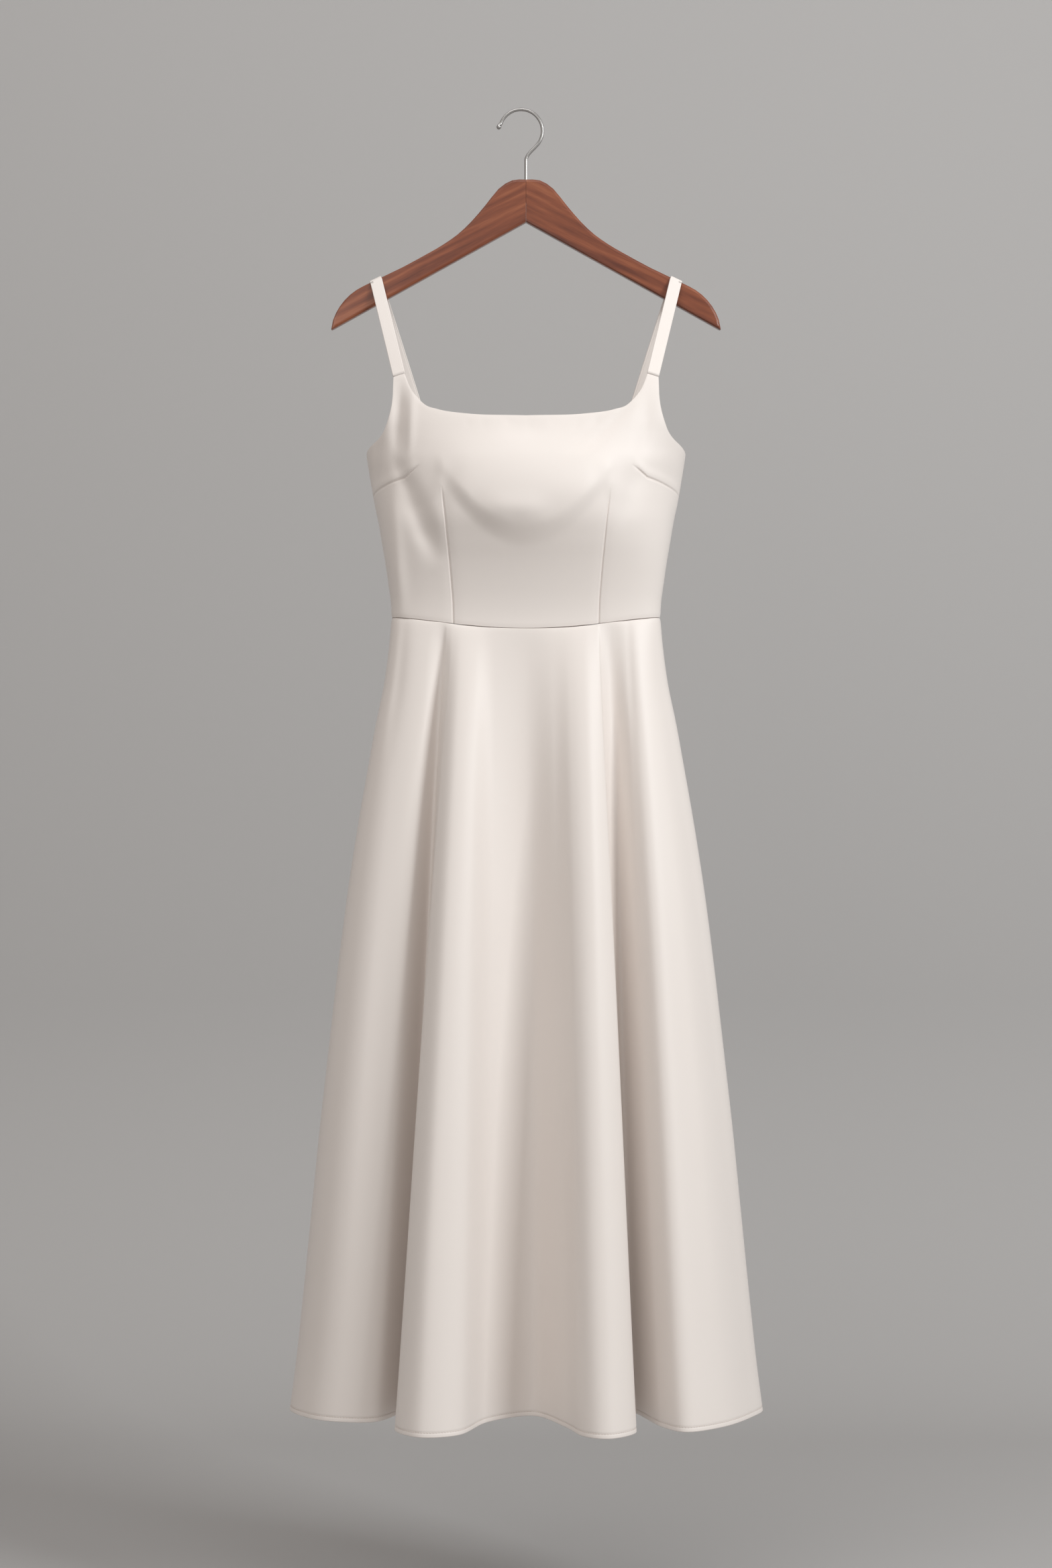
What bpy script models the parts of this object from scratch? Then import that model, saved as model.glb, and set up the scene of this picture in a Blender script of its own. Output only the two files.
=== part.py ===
"""Midi dress with thin straps and a flared skirt, hanging on a flat wooden hanger with a wire hook.

The dress faces -Y and +Z is up. The origin is the underside of the hook, above the hanger's middle,
where a rail carries it. The dress hangs empty, so each panel is a thin wall around an open hollow.
All sizes are in millimetres, and MM turns them into Blender's metres.
"""
from collections import namedtuple
from math import atan2, cos, pi, radians, sin, tan

import bmesh
import bpy
import numpy as np

MM = 0.001
NAME = "midi_dress_on_hanger"

# Cloth
WALL = 1.5
HEM_WALL = 2.6
HEM_WIDTH = 9.0
SEAM_GAP = 0.3
STRAP_WIDTH = 14.0
STRAP_WALL = 1.6
ZIP_WIDTH_TURN = 3.2
ZIP_WALL = 0.9
ZIP_CLEARANCE = 1.2
ZIP_END_LEVEL = -760.0
ZIP_TOP_INSET = 1.0
ZIP_WAIST_REACH = 2.0

# Levels of the dress under the hook
WAIST_LEVEL = -576.0
WAIST_DIP_FRONT = 13.5
WAIST_DIP_BACK = 6.0
WAIST_DIP_POWER = 3.0
HEM_LEVEL = -1474.0

# Hanger
HANGER_THICKNESS = 12.0
HANGER_EDGE_ROUND = 3.0
HANGER_NOTCH_LEVEL = -126.5
HANGER_LOWER_CORNER = (221.5, -249.5)
HANGER_ARM_START = (140.0, -177.5)
HANGER_ARM_SLOPE = radians(25.7)
HANGER_HALF_WIDTH = 222.5
HANGER_TIP_RADIUS = 66.0
HANGER_TIP_END_ANGLE = radians(19.0)
CROWN_X = (0.0, 16.0, 30.0, 46.0, 61.0, 76.0, 92.0, 116.0, 140.0)
CROWN_LEVEL = (-78.0, -79.0, -87.5, -107.0, -124.5, -139.0, -150.5, -164.5, -177.5)
CROWN_STEPS = 19
TIP_STEPS = 7
WIRE_RADIUS = 1.9
HOOK_RADIUS = 24.3
HOOK_CENTRE = (-5.6, -22.2)
HOOK_BALL_RADIUS = 2.7
HOOK_NECK_LEVEL = -56.0
HOOK_BALL_ANGLE = 170.0
HOOK_BALL_OFFSET = 1.05
HOOK_START_ANGLE = 159.0
HOOK_END_ANGLE = -38.0
HOOK_LEAVE_ANGLE = radians(-128.0)
HOOK_LEAVE_PULL = 9.0
NECK_PULL = 7.0
HOOK_BOW_STEPS = 17
STEM_END_LEVEL = -104.0
BORE_TOP_LEVEL = -70.0
MITRE_TOOL_REACH = 300.0
MITRE_TOOL_DEPTH = 60.0
BORE_CLEARANCE = 0.3

# Straps, which cross the arms at their straight upper edges
STRAP_TOP_X = 170.5
STRAP_BASE_STRAIGHT = 3

# Sections of the dress above the waist. The power shapes the section from the middle to the side:
# 2 is a lens with a sharp side seam, 1 is an ellipse, and under 1 is flat across.
Section = namedtuple("Section", "level half_width front_depth back_depth power")
BODICE_SECTIONS = (
    Section(-600.0, 152.5, 45.5, 50.0, 0.62),
    Section(-576.0, 152.5, 46.0, 50.0, 0.62),
    Section(-560.0, 153.2, 48.5, 50.0, 0.62),
    Section(-537.0, 156.2, 55.0, 51.0, 0.64),
    Section(-514.0, 159.5, 64.0, 53.0, 0.68),
    Section(-491.0, 163.5, 75.5, 56.0, 0.80),
    Section(-468.0, 167.5, 86.0, 58.0, 0.95),
    Section(-445.0, 172.5, 91.0, 60.0, 1.10),
    Section(-422.0, 176.5, 91.5, 60.0, 1.15),
    Section(-400.0, 180.0, 88.0, 58.0, 1.05),
    Section(-387.0, 182.0, 84.0, 56.0, 0.98),
    Section(-374.0, 183.0, 79.5, 54.0, 0.85),
    Section(-355.0, 184.0, 73.5, 50.0, 0.65),
    Section(-330.0, 184.0, 66.0, 46.0, 0.45),
    Section(-300.0, 184.0, 56.5, 40.0, 0.32),
)

# Upper edge of the front panel, from the middle outwards. Each row joins a turn round the waist
# to a turn and a level on the edge. Turns are in degrees from the middle of the front.
EdgePoint = namedtuple("EdgePoint", "waist_turn turn level")
FRONT_NECKLINE = (
    EdgePoint(0.0, 0.0, -354.4),
    EdgePoint(20.3, 20.3, -352.1),
    EdgePoint(32.4, 32.4, -346.4),
    EdgePoint(40.5, 39.0, -338.5),
    EdgePoint(45.5, 44.4, -322.7),
    EdgePoint(50.0, 47.6, -304.7),
)
FRONT_ARMHOLE = (
    EdgePoint(57.0, 53.7, -308.4),
    EdgePoint(61.0, 53.8, -322.3),
    EdgePoint(65.5, 54.9, -341.7),
    EdgePoint(71.0, 58.2, -360.8),
    EdgePoint(78.0, 64.0, -375.0),
    EdgePoint(90.0, 90.0, -393.0),
)

# Upper edge of a back panel, from the centre back outwards
BACK_NECKLINE = (
    EdgePoint(0.0, 0.0, -393.5),
    EdgePoint(16.0, 16.0, -391.5),
    EdgePoint(33.9, 33.9, -384.4),
)
BACK_ARMHOLE = (
    EdgePoint(39.4, 39.4, -388.8),
    EdgePoint(60.0, 60.0, -389.0),
    EdgePoint(90.0, 90.0, -393.0),
)

# The bust line runs through the tips of the four darts. Beyond the side darts' tips it is their fold.
BustPoint = namedtuple("BustPoint", "turn level")
BUST_LINE = (
    BustPoint(0.0, -430.0),
    BustPoint(32.4, -430.0),
    BustPoint(41.4, -408.5),
    BustPoint(50.0, -421.5),
    BustPoint(66.0, -430.0),
    BustPoint(90.0, -441.0),
)
DART_DEPTH = 1.6
DART_HALF_WIDTH = 2.5
WAIST_DART_FADE = 25.0
SIDE_DART_FADE_TURN = 6.0
WAIST_DART_TURN = 32.4
SIDE_DART_TIP_TURN = 41.4

# Soft fullness over the darts: a ledge along a U between the waist darts' tips
LEDGE_DEPTH = 5.0
LEDGE_LOWEST_LEVEL = -484.0
LEDGE_RISE = 56.0
LEDGE_HALF_SPAN = 83.0
LEDGE_SOFTNESS = 17.0
LEDGE_TOP_FADE = (-450.0, -365.0)
LEDGE_SIDE_FADE = (0.75, 1.35)

# Half width of the skirt's outline under the waist
Flare = namedtuple("Flare", "level half_width")
SKIRT_OUTLINE = (
    Flare(-576.0, 152.5),
    Flare(-605.0, 155.0),
    Flare(-651.0, 161.2),
    Flare(-697.0, 170.7),
    Flare(-743.0, 179.0),
    Flare(-788.0, 187.0),
    Flare(-880.0, 201.6),
    Flare(-971.0, 213.4),
    Flare(-1063.0, 224.0),
    Flare(-1154.0, 234.3),
    Flare(-1246.0, 243.5),
    Flare(-1337.0, 252.6),
    Flare(-1428.0, 262.5),
    Flare(-1474.0, 268.6),
)

# Fold lines of the skirt, from the left side seam across the front and back again behind.
# Each runs from its place at the waist to its place at the hem. Depth counts out from the side seams.
FoldLine = namedtuple("FoldLine", "name waist_x hem_x hem_depth")
FRONT_FOLDS = (
    FoldLine("left_seam", -152.5, -268.6, 0.0),
    FoldLine("left_flank", -144.0, -245.0, 44.0),
    FoldLine("left_crown", -130.0, -210.0, 65.0),
    FoldLine("left_inner", -108.0, -166.0, 64.0),
    FoldLine("left_valley", -94.0, -134.0, 12.0),
    FoldLine("left_wall", -88.0, -133.0, 60.0),
    FoldLine("left_edge", -81.0, -144.0, 108.0),
    FoldLine("left_ridge", -71.0, -114.0, 141.0),
    FoldLine("left_brow", -56.0, -72.0, 128.0),
    FoldLine("left_slope", -34.0, -42.0, 66.0),
    FoldLine("centre_valley", 0.0, 8.0, 35.0),
    FoldLine("right_slope", 29.0, 42.0, 88.0),
    FoldLine("right_brow", 48.0, 62.0, 134.0),
    FoldLine("right_ridge", 64.0, 92.0, 147.0),
    FoldLine("right_edge", 79.0, 121.0, 116.0),
    FoldLine("right_wall", 84.0, 108.0, 66.0),
    FoldLine("right_valley", 95.0, 121.0, 20.0),
    FoldLine("right_inner", 111.0, 149.0, 88.0),
    FoldLine("right_crown", 123.0, 177.0, 115.0),
    FoldLine("right_flank", 136.0, 220.0, 88.0),
    FoldLine("right_rear", 144.0, 253.0, 42.0),
)
BACK_FOLDS = (
    FoldLine("right_seam", 152.5, 268.6, 0.0),
    FoldLine("back_right_flank", 144.0, 244.0, -50.0),
    FoldLine("back_right_crown", 126.0, 200.0, -96.0),
    FoldLine("back_right_inner", 106.0, 166.0, -64.0),
    FoldLine("back_right_valley", 92.0, 146.0, -22.0),
    FoldLine("back_right_wall", 86.0, 138.0, -84.0),
    FoldLine("back_right_ridge", 72.0, 108.0, -142.0),
    FoldLine("back_right_brow", 50.0, 66.0, -128.0),
    FoldLine("back_right_slope", 27.0, 36.0, -76.0),
    FoldLine("centre_back", 0.0, 0.0, -48.0),
    FoldLine("back_left_slope", -27.0, -34.0, -70.0),
    FoldLine("back_left_brow", -50.0, -68.0, -132.0),
    FoldLine("back_left_ridge", -72.0, -112.0, -138.0),
    FoldLine("back_left_wall", -86.0, -140.0, -78.0),
    FoldLine("back_left_valley", -92.0, -148.0, -24.0),
    FoldLine("back_left_inner", -106.0, -168.0, -70.0),
    FoldLine("back_left_crown", -126.0, -205.0, -92.0),
    FoldLine("back_left_flank", -144.0, -246.0, -46.0),
)
SKIRT_FOLDS = FRONT_FOLDS + BACK_FOLDS
FOLD_GROWTH = 0.75

# Grids of the walls: turns and fold steps are columns, heights are rows
FRONT_COLUMNS = (0.0, 7.0, 14.0, 20.3, 26.0, 31.2, 32.4, 33.6, 37.0, 40.5, 43.0, 45.5, 47.8, 50.0,
                 53.5, 57.0, 61.0, 65.5, 71.0, 78.0, 84.0, 90.0)
BACK_COLUMNS = (0.0, 8.0, 16.0, 25.0, 33.9, 39.4, 49.0, 60.0, 70.0, 80.0, 90.0)
BUST_SHARE = 0.55
ROWS_UNDER_BUST = 6
ROWS_OVER_BUST = 6
BACK_ROWS = 9
COLUMNS_PER_FOLD_FRONT = 3
COLUMNS_PER_FOLD_BACK = 3
SKIRT_ROWS = (0.0, 0.03, 0.07, 0.13, 0.21, 0.32, 0.45, 0.58, 0.71, 0.85)
ZIP_ROWS = 8
TURN_STEP = 1.5
LEVEL_STEP = 2.0
STATION_STEP = 0.04
DOWN_STEP = 0.004

# Colours as linear RGB, from the photograph's side that faces the light
SATIN = (0.80, 0.75, 0.71, 1.0)
ZIP_TAPE = (0.74, 0.69, 0.65, 1.0)
MAHOGANY = (0.21, 0.065, 0.036, 1.0)
STEEL = (0.55, 0.54, 0.52, 1.0)


def smooth_value(at, stations, values):
    """Cubic curve through the values at rising stations, read at the places asked for."""
    stations = np.asarray(stations, dtype=float)
    values = np.asarray(values, dtype=float)
    slopes = np.gradient(values, stations)
    at = np.clip(np.asarray(at, dtype=float), stations[0], stations[-1])
    low = np.clip(np.searchsorted(stations, at) - 1, 0, len(stations) - 2)
    step = stations[low + 1] - stations[low]
    part = (at - stations[low]) / step
    rise = part * part * (3.0 - 2.0 * part)
    leave = part * (1.0 - part) ** 2 * step * slopes[low]
    arrive = part * part * (part - 1.0) * step * slopes[low + 1]
    return values[low] * (1.0 - rise) + values[low + 1] * rise + leave + arrive


def smooth_ring(at, values):
    """Closed cubic curve through evenly counted values, where station n is row n."""
    values = np.asarray(values, dtype=float)
    count = len(values)
    low = np.floor(at).astype(int)
    part = at - low
    before, here, there, after = (values[(low + k) % count] for k in (-1, 0, 1, 2))
    rise = part * part * (3.0 - 2.0 * part)
    leave = part * (1.0 - part) ** 2 * (there - before) / 2.0
    arrive = part * part * (part - 1.0) * (after - here) / 2.0
    return here * (1.0 - rise) + there * rise + leave + arrive


def smooth_step(value, low, high):
    part = np.clip((value - low) / (high - low), 0.0, 1.0)
    return part * part * (3.0 - 2.0 * part)


def section_value(level, column):
    rows = sorted(BODICE_SECTIONS)
    return smooth_value(level, [row.level for row in rows], [getattr(row, column) for row in rows])


def waist_level(turn):
    """Level of the waist seam, which dips to the middle of the front and of the back."""
    across = np.cos(np.radians(turn))
    dip = np.where(across > 0.0, WAIST_DIP_FRONT, WAIST_DIP_BACK)
    return WAIST_LEVEL - dip * np.abs(across) ** WAIST_DIP_POWER


def bust_level(turn):
    return np.interp(np.abs(turn), [p.turn for p in BUST_LINE], [p.level for p in BUST_LINE])


def dart_groove(turn, level):
    """Depth of the four dart seams: each is a fine groove that runs out at its tip."""
    width = section_value(level, "half_width")
    off_waist_dart = np.abs(np.abs(turn) - WAIST_DART_TURN) * pi / 180.0 * width
    waist_dart = np.clip(1.0 - off_waist_dart / DART_HALF_WIDTH, 0.0, 1.0)
    waist_dart = waist_dart * smooth_step(bust_level(turn) - level, 0.0, WAIST_DART_FADE)
    off_side_dart = np.abs(level - bust_level(turn))
    side_dart = np.clip(1.0 - off_side_dart / DART_HALF_WIDTH, 0.0, 1.0)
    side_dart = side_dart * smooth_step(np.abs(turn) - SIDE_DART_TIP_TURN, 0.0, SIDE_DART_FADE_TURN)
    return DART_DEPTH * np.maximum(waist_dart, side_dart)


def bust_ledge(x, level):
    """Fullness above the U that joins the tips of the waist darts."""
    ledge_level = LEDGE_LOWEST_LEVEL + LEDGE_RISE * (x / LEDGE_HALF_SPAN) ** 2
    over = smooth_step(level - ledge_level, -LEDGE_SOFTNESS, LEDGE_SOFTNESS)
    inside = 1.0 - smooth_step(np.abs(x) / LEDGE_HALF_SPAN, LEDGE_SIDE_FADE[0], LEDGE_SIDE_FADE[1])
    fade = 1.0 - smooth_step(level, LEDGE_TOP_FADE[0], LEDGE_TOP_FADE[1])
    return LEDGE_DEPTH * over * inside * fade


def bodice_point(turn, level):
    """Point on the outside of the bodice. The turn is in degrees from the middle of the front."""
    across = np.sin(np.radians(turn))
    along = np.cos(np.radians(turn))
    x = section_value(level, "half_width") * across
    bow = np.abs(along) ** section_value(level, "power")
    in_front = along > 0.0
    front = section_value(level, "front_depth") * bow + bust_ledge(x, level)
    front = front - dart_groove(turn, level) * smooth_step(along, 0.0, 0.05)
    back = section_value(level, "back_depth") * bow
    y = np.where(in_front, -front, back)
    return np.stack([x, y, level + 0.0 * x], axis=-1)


def skirt_station_turn(station):
    """Turn round the waist ring at which a fold station starts."""
    waist_x = smooth_ring(station, [fold.waist_x for fold in SKIRT_FOLDS])
    turn = np.degrees(np.arcsin(np.clip(waist_x / SKIRT_OUTLINE[0].half_width, -1.0, 1.0)))
    behind = station > len(FRONT_FOLDS)
    return np.where(behind, 180.0 - turn, turn)


def skirt_point(station, down):
    """Point on the outside of the skirt: station counts the fold lines, down is 0 at the waist
    and 1 at the hem."""
    turn = skirt_station_turn(station)
    waist = bodice_point(turn, waist_level(turn))
    level = waist[..., 2] * (1.0 - down) + HEM_LEVEL * down
    waist_half = SKIRT_OUTLINE[0].half_width
    hem_half = SKIRT_OUTLINE[-1].half_width
    hem_x = smooth_ring(station, [fold.hem_x for fold in SKIRT_FOLDS])
    hem_depth = smooth_ring(station, [fold.hem_depth for fold in SKIRT_FOLDS])
    rows = sorted(SKIRT_OUTLINE)
    outline = smooth_value(level, [row.level for row in rows], [row.half_width for row in rows])
    bulge = outline - (waist_half * (1.0 - down) + hem_half * down)
    x = waist[..., 0] * (1.0 - down) + hem_x * down + bulge * (hem_x / hem_half) ** 3
    growth = down ** FOLD_GROWTH
    y = waist[..., 1] * (1.0 - growth) - hem_depth * growth
    return np.stack([x, y, level], axis=-1)


def surface_normal(surface, first, second, first_step, second_step):
    """Unit normals from the surface's own slopes, also across a seam."""
    along = surface(first + first_step, second) - surface(first - first_step, second)
    up = surface(first, second + second_step) - surface(first, second - second_step)
    normal = np.cross(along, up)
    return normal / np.linalg.norm(normal, axis=-1, keepdims=True)


def bodice_normal(turn, level):
    return surface_normal(bodice_point, turn, level, TURN_STEP, LEVEL_STEP)


def skirt_normal(station, down):
    def surface(at, height):
        return skirt_point(at % len(SKIRT_FOLDS), np.clip(height, 0.0, 1.0))
    return -surface_normal(surface, station, down, STATION_STEP, DOWN_STEP)


def edge_curve(columns, neckline, armhole):
    """Turn and level of a panel's upper edge for each turn round the waist."""
    turn = np.zeros_like(columns)
    level = np.zeros_like(columns)
    for table in (neckline, armhole):
        stations = [row.waist_turn for row in table]
        inside = (columns >= stations[0]) & (columns <= stations[-1])
        turn[inside] = smooth_value(columns[inside], stations, [row.turn for row in table])
        level[inside] = smooth_value(columns[inside], stations, [row.level for row in table])
    base = (columns > neckline[-1].waist_turn) & (columns < armhole[0].waist_turn)
    ends = [neckline[-1].waist_turn, armhole[0].waist_turn]
    turn[base] = np.interp(columns[base], ends, [neckline[-1].turn, armhole[0].turn])
    level[base] = np.interp(columns[base], ends, [neckline[-1].level, armhole[0].level])
    return turn, level


def new_material(name, colour, roughness, metallic):
    material = bpy.data.materials.new(name)
    material.use_nodes = True
    shader = material.node_tree.nodes["Principled BSDF"]
    shader.inputs["Base Color"].default_value = colour
    shader.inputs["Roughness"].default_value = roughness
    shader.inputs["Metallic"].default_value = metallic
    material.diffuse_color = colour
    return material


def finish_object(obj, collection, material, sharp_angle=40.0):
    collection.objects.link(obj)
    obj.data.materials.clear()
    obj.data.materials.append(material)
    if obj.type == "MESH":
        obj.data.shade_smooth()
        obj.data.set_sharp_from_angle(angle=radians(sharp_angle))


def cloth_wall(name, outer, inner, collection, material):
    """Closed wall between an outer and an inner grid of points, column by column.

    Both layers share their diagonals, so the wall keeps its thickness where the grid is twisted."""
    columns, rows = outer.shape[:2]
    points = np.concatenate([outer.reshape(-1, 3), inner.reshape(-1, 3)]) * MM
    layer = columns * rows
    faces = []
    for column in range(columns - 1):
        for row in range(rows - 1):
            a = column * rows + row
            b = a + rows
            for triangle in ((a, b, b + 1), (a, b + 1, a + 1)):
                faces.append(triangle)
                faces.append(tuple(layer + corner for corner in reversed(triangle)))
    border = [column * rows for column in range(columns)]
    border += [(columns - 1) * rows + row for row in range(1, rows)]
    border += [column * rows + rows - 1 for column in range(columns - 2, -1, -1)]
    border += [row for row in range(rows - 2, 0, -1)]
    for here, there in zip(border, border[1:] + border[:1]):
        faces.append((there, here, layer + here))
        faces.append((there, layer + here, layer + there))
    mesh = bpy.data.meshes.new(name)
    mesh.from_pydata([tuple(point) for point in points], [], faces)
    work = bmesh.new()
    work.from_mesh(mesh)
    bmesh.ops.recalc_face_normals(work, faces=work.faces)
    work.to_mesh(mesh)
    work.free()
    wall = bpy.data.objects.new(name, mesh)
    finish_object(wall, collection, material)
    return wall


def keep_to_front(points):
    points[..., 1] = np.minimum(points[..., 1], -SEAM_GAP / 2.0)


def keep_to_back_half(points, side):
    """Hold a back panel behind the side seams and on its own side of the centre back."""
    points[..., 1] = np.maximum(points[..., 1], SEAM_GAP / 2.0)
    points[..., 0] = side * np.maximum(side * points[..., 0], SEAM_GAP / 2.0)


def bodice_front(collection, material):
    half = np.array(FRONT_COLUMNS)
    turn_half, top_half = edge_curve(half, FRONT_NECKLINE, FRONT_ARMHOLE)
    waist_turn = np.concatenate([-half[:0:-1], half])
    top_turn = np.concatenate([-turn_half[:0:-1], turn_half])
    top = np.concatenate([top_half[:0:-1], top_half])
    grid_turn = []
    grid_level = []
    for turn_low, turn_high, high in zip(waist_turn, top_turn, top):
        low = waist_level(turn_low) + SEAM_GAP / 2.0
        bust_turn = turn_low + (turn_high - turn_low) * BUST_SHARE
        bust = float(bust_level(bust_turn))
        under = np.linspace(low, bust - DART_HALF_WIDTH, ROWS_UNDER_BUST + 1)
        over = np.linspace(bust + DART_HALF_WIDTH, high, ROWS_OVER_BUST + 1)
        level = np.concatenate([under, [bust], over])
        share = np.interp(level, [low, bust, high], [0.0, BUST_SHARE, 1.0])
        grid_level.append(level)
        grid_turn.append(turn_low + (turn_high - turn_low) * share)
    turn = np.array(grid_turn)
    level = np.array(grid_level)
    outer = bodice_point(turn, level)
    inner = outer - WALL * bodice_normal(turn, level)
    keep_to_front(outer)
    keep_to_front(inner)
    return cloth_wall("bodice_front", outer, inner, collection, material)


def bodice_back(side, name, collection, material):
    columns = np.array(BACK_COLUMNS)
    top_turn, top = edge_curve(columns, BACK_NECKLINE, BACK_ARMHOLE)
    share = np.linspace(0.0, 1.0, BACK_ROWS + 1)
    turn = 180.0 - (columns[:, None] + (top_turn - columns)[:, None] * share)
    low = waist_level(180.0 - columns) + SEAM_GAP / 2.0
    level = low[:, None] + (top - low)[:, None] * share
    outer = bodice_point(side * turn, level)
    inner = outer - WALL * bodice_normal(side * turn, level)
    keep_to_back_half(outer, side)
    keep_to_back_half(inner, side)
    return cloth_wall(name, outer, inner, collection, material)


def skirt_rows():
    """Heights of the rows as parts of the skirt's drop, with the hem's step at the end."""
    hem_part = HEM_WIDTH / (WAIST_LEVEL - HEM_LEVEL)
    rows = list(SKIRT_ROWS) + [1.0 - 1.15 * hem_part, 1.0 - hem_part, 1.0]
    walls = [WALL] * (len(SKIRT_ROWS) + 1) + [HEM_WALL, HEM_WALL]
    return np.array(rows), np.array(walls)


def skirt_panel(name, first, last, per_fold, collection, material, side=0):
    """One panel between two fold stations."""
    rows, walls = skirt_rows()
    stations = np.linspace(first, last, round((last - first) * per_fold) + 1)
    station, down = np.meshgrid(stations, rows, indexing="ij")
    outer = skirt_point(station % len(SKIRT_FOLDS), down)
    inner = outer - walls[None, :, None] * skirt_normal(station, down)
    for points in (outer, inner):
        points[:, 0, 2] -= SEAM_GAP / 2.0
        if side:
            keep_to_back_half(points, side)
        else:
            keep_to_front(points)
    return cloth_wall(name, outer, inner, collection, material)


def back_zip(collection, material):
    """Closed zip: a strip on the inside of the centre-back seam, over the waist seam."""
    across = np.linspace(-ZIP_WIDTH_TURN, ZIP_WIDTH_TURN, 5)
    middle = next(i for i, fold in enumerate(SKIRT_FOLDS) if fold.name == "centre_back")
    waist = float(waist_level(180.0))
    levels = np.linspace(BACK_NECKLINE[0].level - ZIP_TOP_INSET, waist + ZIP_WAIST_REACH, ZIP_ROWS)
    turn, level = np.meshgrid(180.0 - across, levels, indexing="ij")
    upper = bodice_point(turn, level)
    upper_normal = bodice_normal(turn, level)
    waist_half = SKIRT_OUTLINE[0].half_width
    slope_x = SKIRT_FOLDS[middle - 1].waist_x
    stations = middle - waist_half * np.sin(np.radians(across)) / slope_x
    downs = (waist - np.linspace(waist - ZIP_WAIST_REACH, ZIP_END_LEVEL, ZIP_ROWS)) / (waist - HEM_LEVEL)
    station, down = np.meshgrid(stations, downs, indexing="ij")
    lower = skirt_point(station, down)
    lower_normal = skirt_normal(station, down)
    points = np.concatenate([upper, lower], axis=1)
    normals = np.concatenate([upper_normal, lower_normal], axis=1)
    outer = points - (WALL + ZIP_CLEARANCE) * normals
    inner = outer - ZIP_WALL * normals
    return cloth_wall("back_zip", outer, inner, collection, material)


def arm_top(x):
    """Level of the straight upper edge of an arm."""
    return HANGER_ARM_START[1] - (x - HANGER_ARM_START[0]) * tan(HANGER_ARM_SLOPE)


def strap_base(side, front):
    """Ends of the seam where a strap leaves a panel, and the panel's normal between them."""
    neckline, armhole = (FRONT_NECKLINE, FRONT_ARMHOLE) if front else (BACK_NECKLINE, BACK_ARMHOLE)
    inner_edge, outer_edge = neckline[-1], armhole[0]
    turns = np.array([inner_edge.turn, outer_edge.turn])
    turns = side * (turns if front else 180.0 - turns)
    levels = np.array([inner_edge.level, outer_edge.level])
    ends = bodice_point(turns, levels)
    normal = bodice_normal(turns, levels).mean(axis=0)
    return ends[0], ends[1], normal / np.linalg.norm(normal)


def strap_over_arm(side, lean_front, lean_back):
    """Middle line of the strap over the arm's rounded upper edge, from the front to the back."""
    up = np.array([side * sin(HANGER_ARM_SLOPE), 0.0, cos(HANGER_ARM_SLOPE)])
    seat = np.array([side * STRAP_TOP_X, 0.0, arm_top(STRAP_TOP_X)])
    corner = HANGER_THICKNESS / 2.0 - HANGER_EDGE_ROUND
    radius = HANGER_EDGE_ROUND + SEAM_GAP + STRAP_WALL / 2.0
    points = []
    normals = []
    for facing, lean in ((-1.0, lean_front), (1.0, lean_back)):
        angles = np.linspace(0.5 * pi - lean, 0.0, 5)
        if facing > 0.0:
            angles = angles[::-1]
        for angle in angles:
            normal = facing * sin(angle) * np.array([0.0, 1.0, 0.0]) + cos(angle) * up
            middle = seat + facing * corner * np.array([0.0, 1.0, 0.0]) - HANGER_EDGE_ROUND * up
            points.append(middle + radius * normal)
            normals.append(normal)
    return np.array(points), np.array(normals)


def strap(side, name, collection, material):
    """Band from the front panel over the arm and down to the back panel."""
    front_inner, front_outer, front_normal = strap_base(side, True)
    back_inner, back_outer, back_normal = strap_base(side, False)
    front_base = (front_inner + front_outer) / 2.0 - WALL / 2.0 * front_normal
    back_base = (back_inner + back_outer) / 2.0 - WALL / 2.0 * back_normal
    seat_level = arm_top(STRAP_TOP_X)
    reach = HANGER_THICKNESS / 2.0 + STRAP_WALL
    lean_front = atan2(-front_base[1] - reach, seat_level - front_base[2])
    lean_back = atan2(back_base[1] - reach, seat_level - back_base[2])
    over, over_normal = strap_over_arm(side, lean_front, lean_back)
    steps = np.linspace(0.0, 1.0, STRAP_BASE_STRAIGHT + 2)[:-1, None]
    front_run = front_base + (over[0] - front_base) * steps
    back_run = back_base + (over[-1] - back_base) * steps
    front_run[0] += SEAM_GAP * (over[0] - front_base) / np.linalg.norm(over[0] - front_base)
    back_run[0] += SEAM_GAP * (over[-1] - back_base) / np.linalg.norm(over[-1] - back_base)
    route = np.concatenate([front_run, over, back_run[::-1]])
    arm_direction = np.array([-side * cos(HANGER_ARM_SLOPE), 0.0, sin(HANGER_ARM_SLOPE)])
    tangent = np.gradient(route, axis=0)
    tangent /= np.linalg.norm(tangent, axis=1, keepdims=True)
    width = arm_direction - tangent * (tangent @ arm_direction)[:, None]
    ends = ((0, front_inner - front_outer), (-1, back_inner - back_outer))
    for place, direction in ends:
        width[place] = direction
    width /= np.linalg.norm(width, axis=1, keepdims=True)
    normal = np.cross(width, tangent) * side
    normal /= np.linalg.norm(normal, axis=1, keepdims=True)
    across = np.array([-0.5, 0.0, 0.5]) * STRAP_WIDTH
    middle = route[None] + across[:, None, None] * width[None]
    outer = middle + STRAP_WALL / 2.0 * normal[None]
    inner = middle - STRAP_WALL / 2.0 * normal[None]
    return cloth_wall(name, outer, inner, collection, material)


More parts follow.
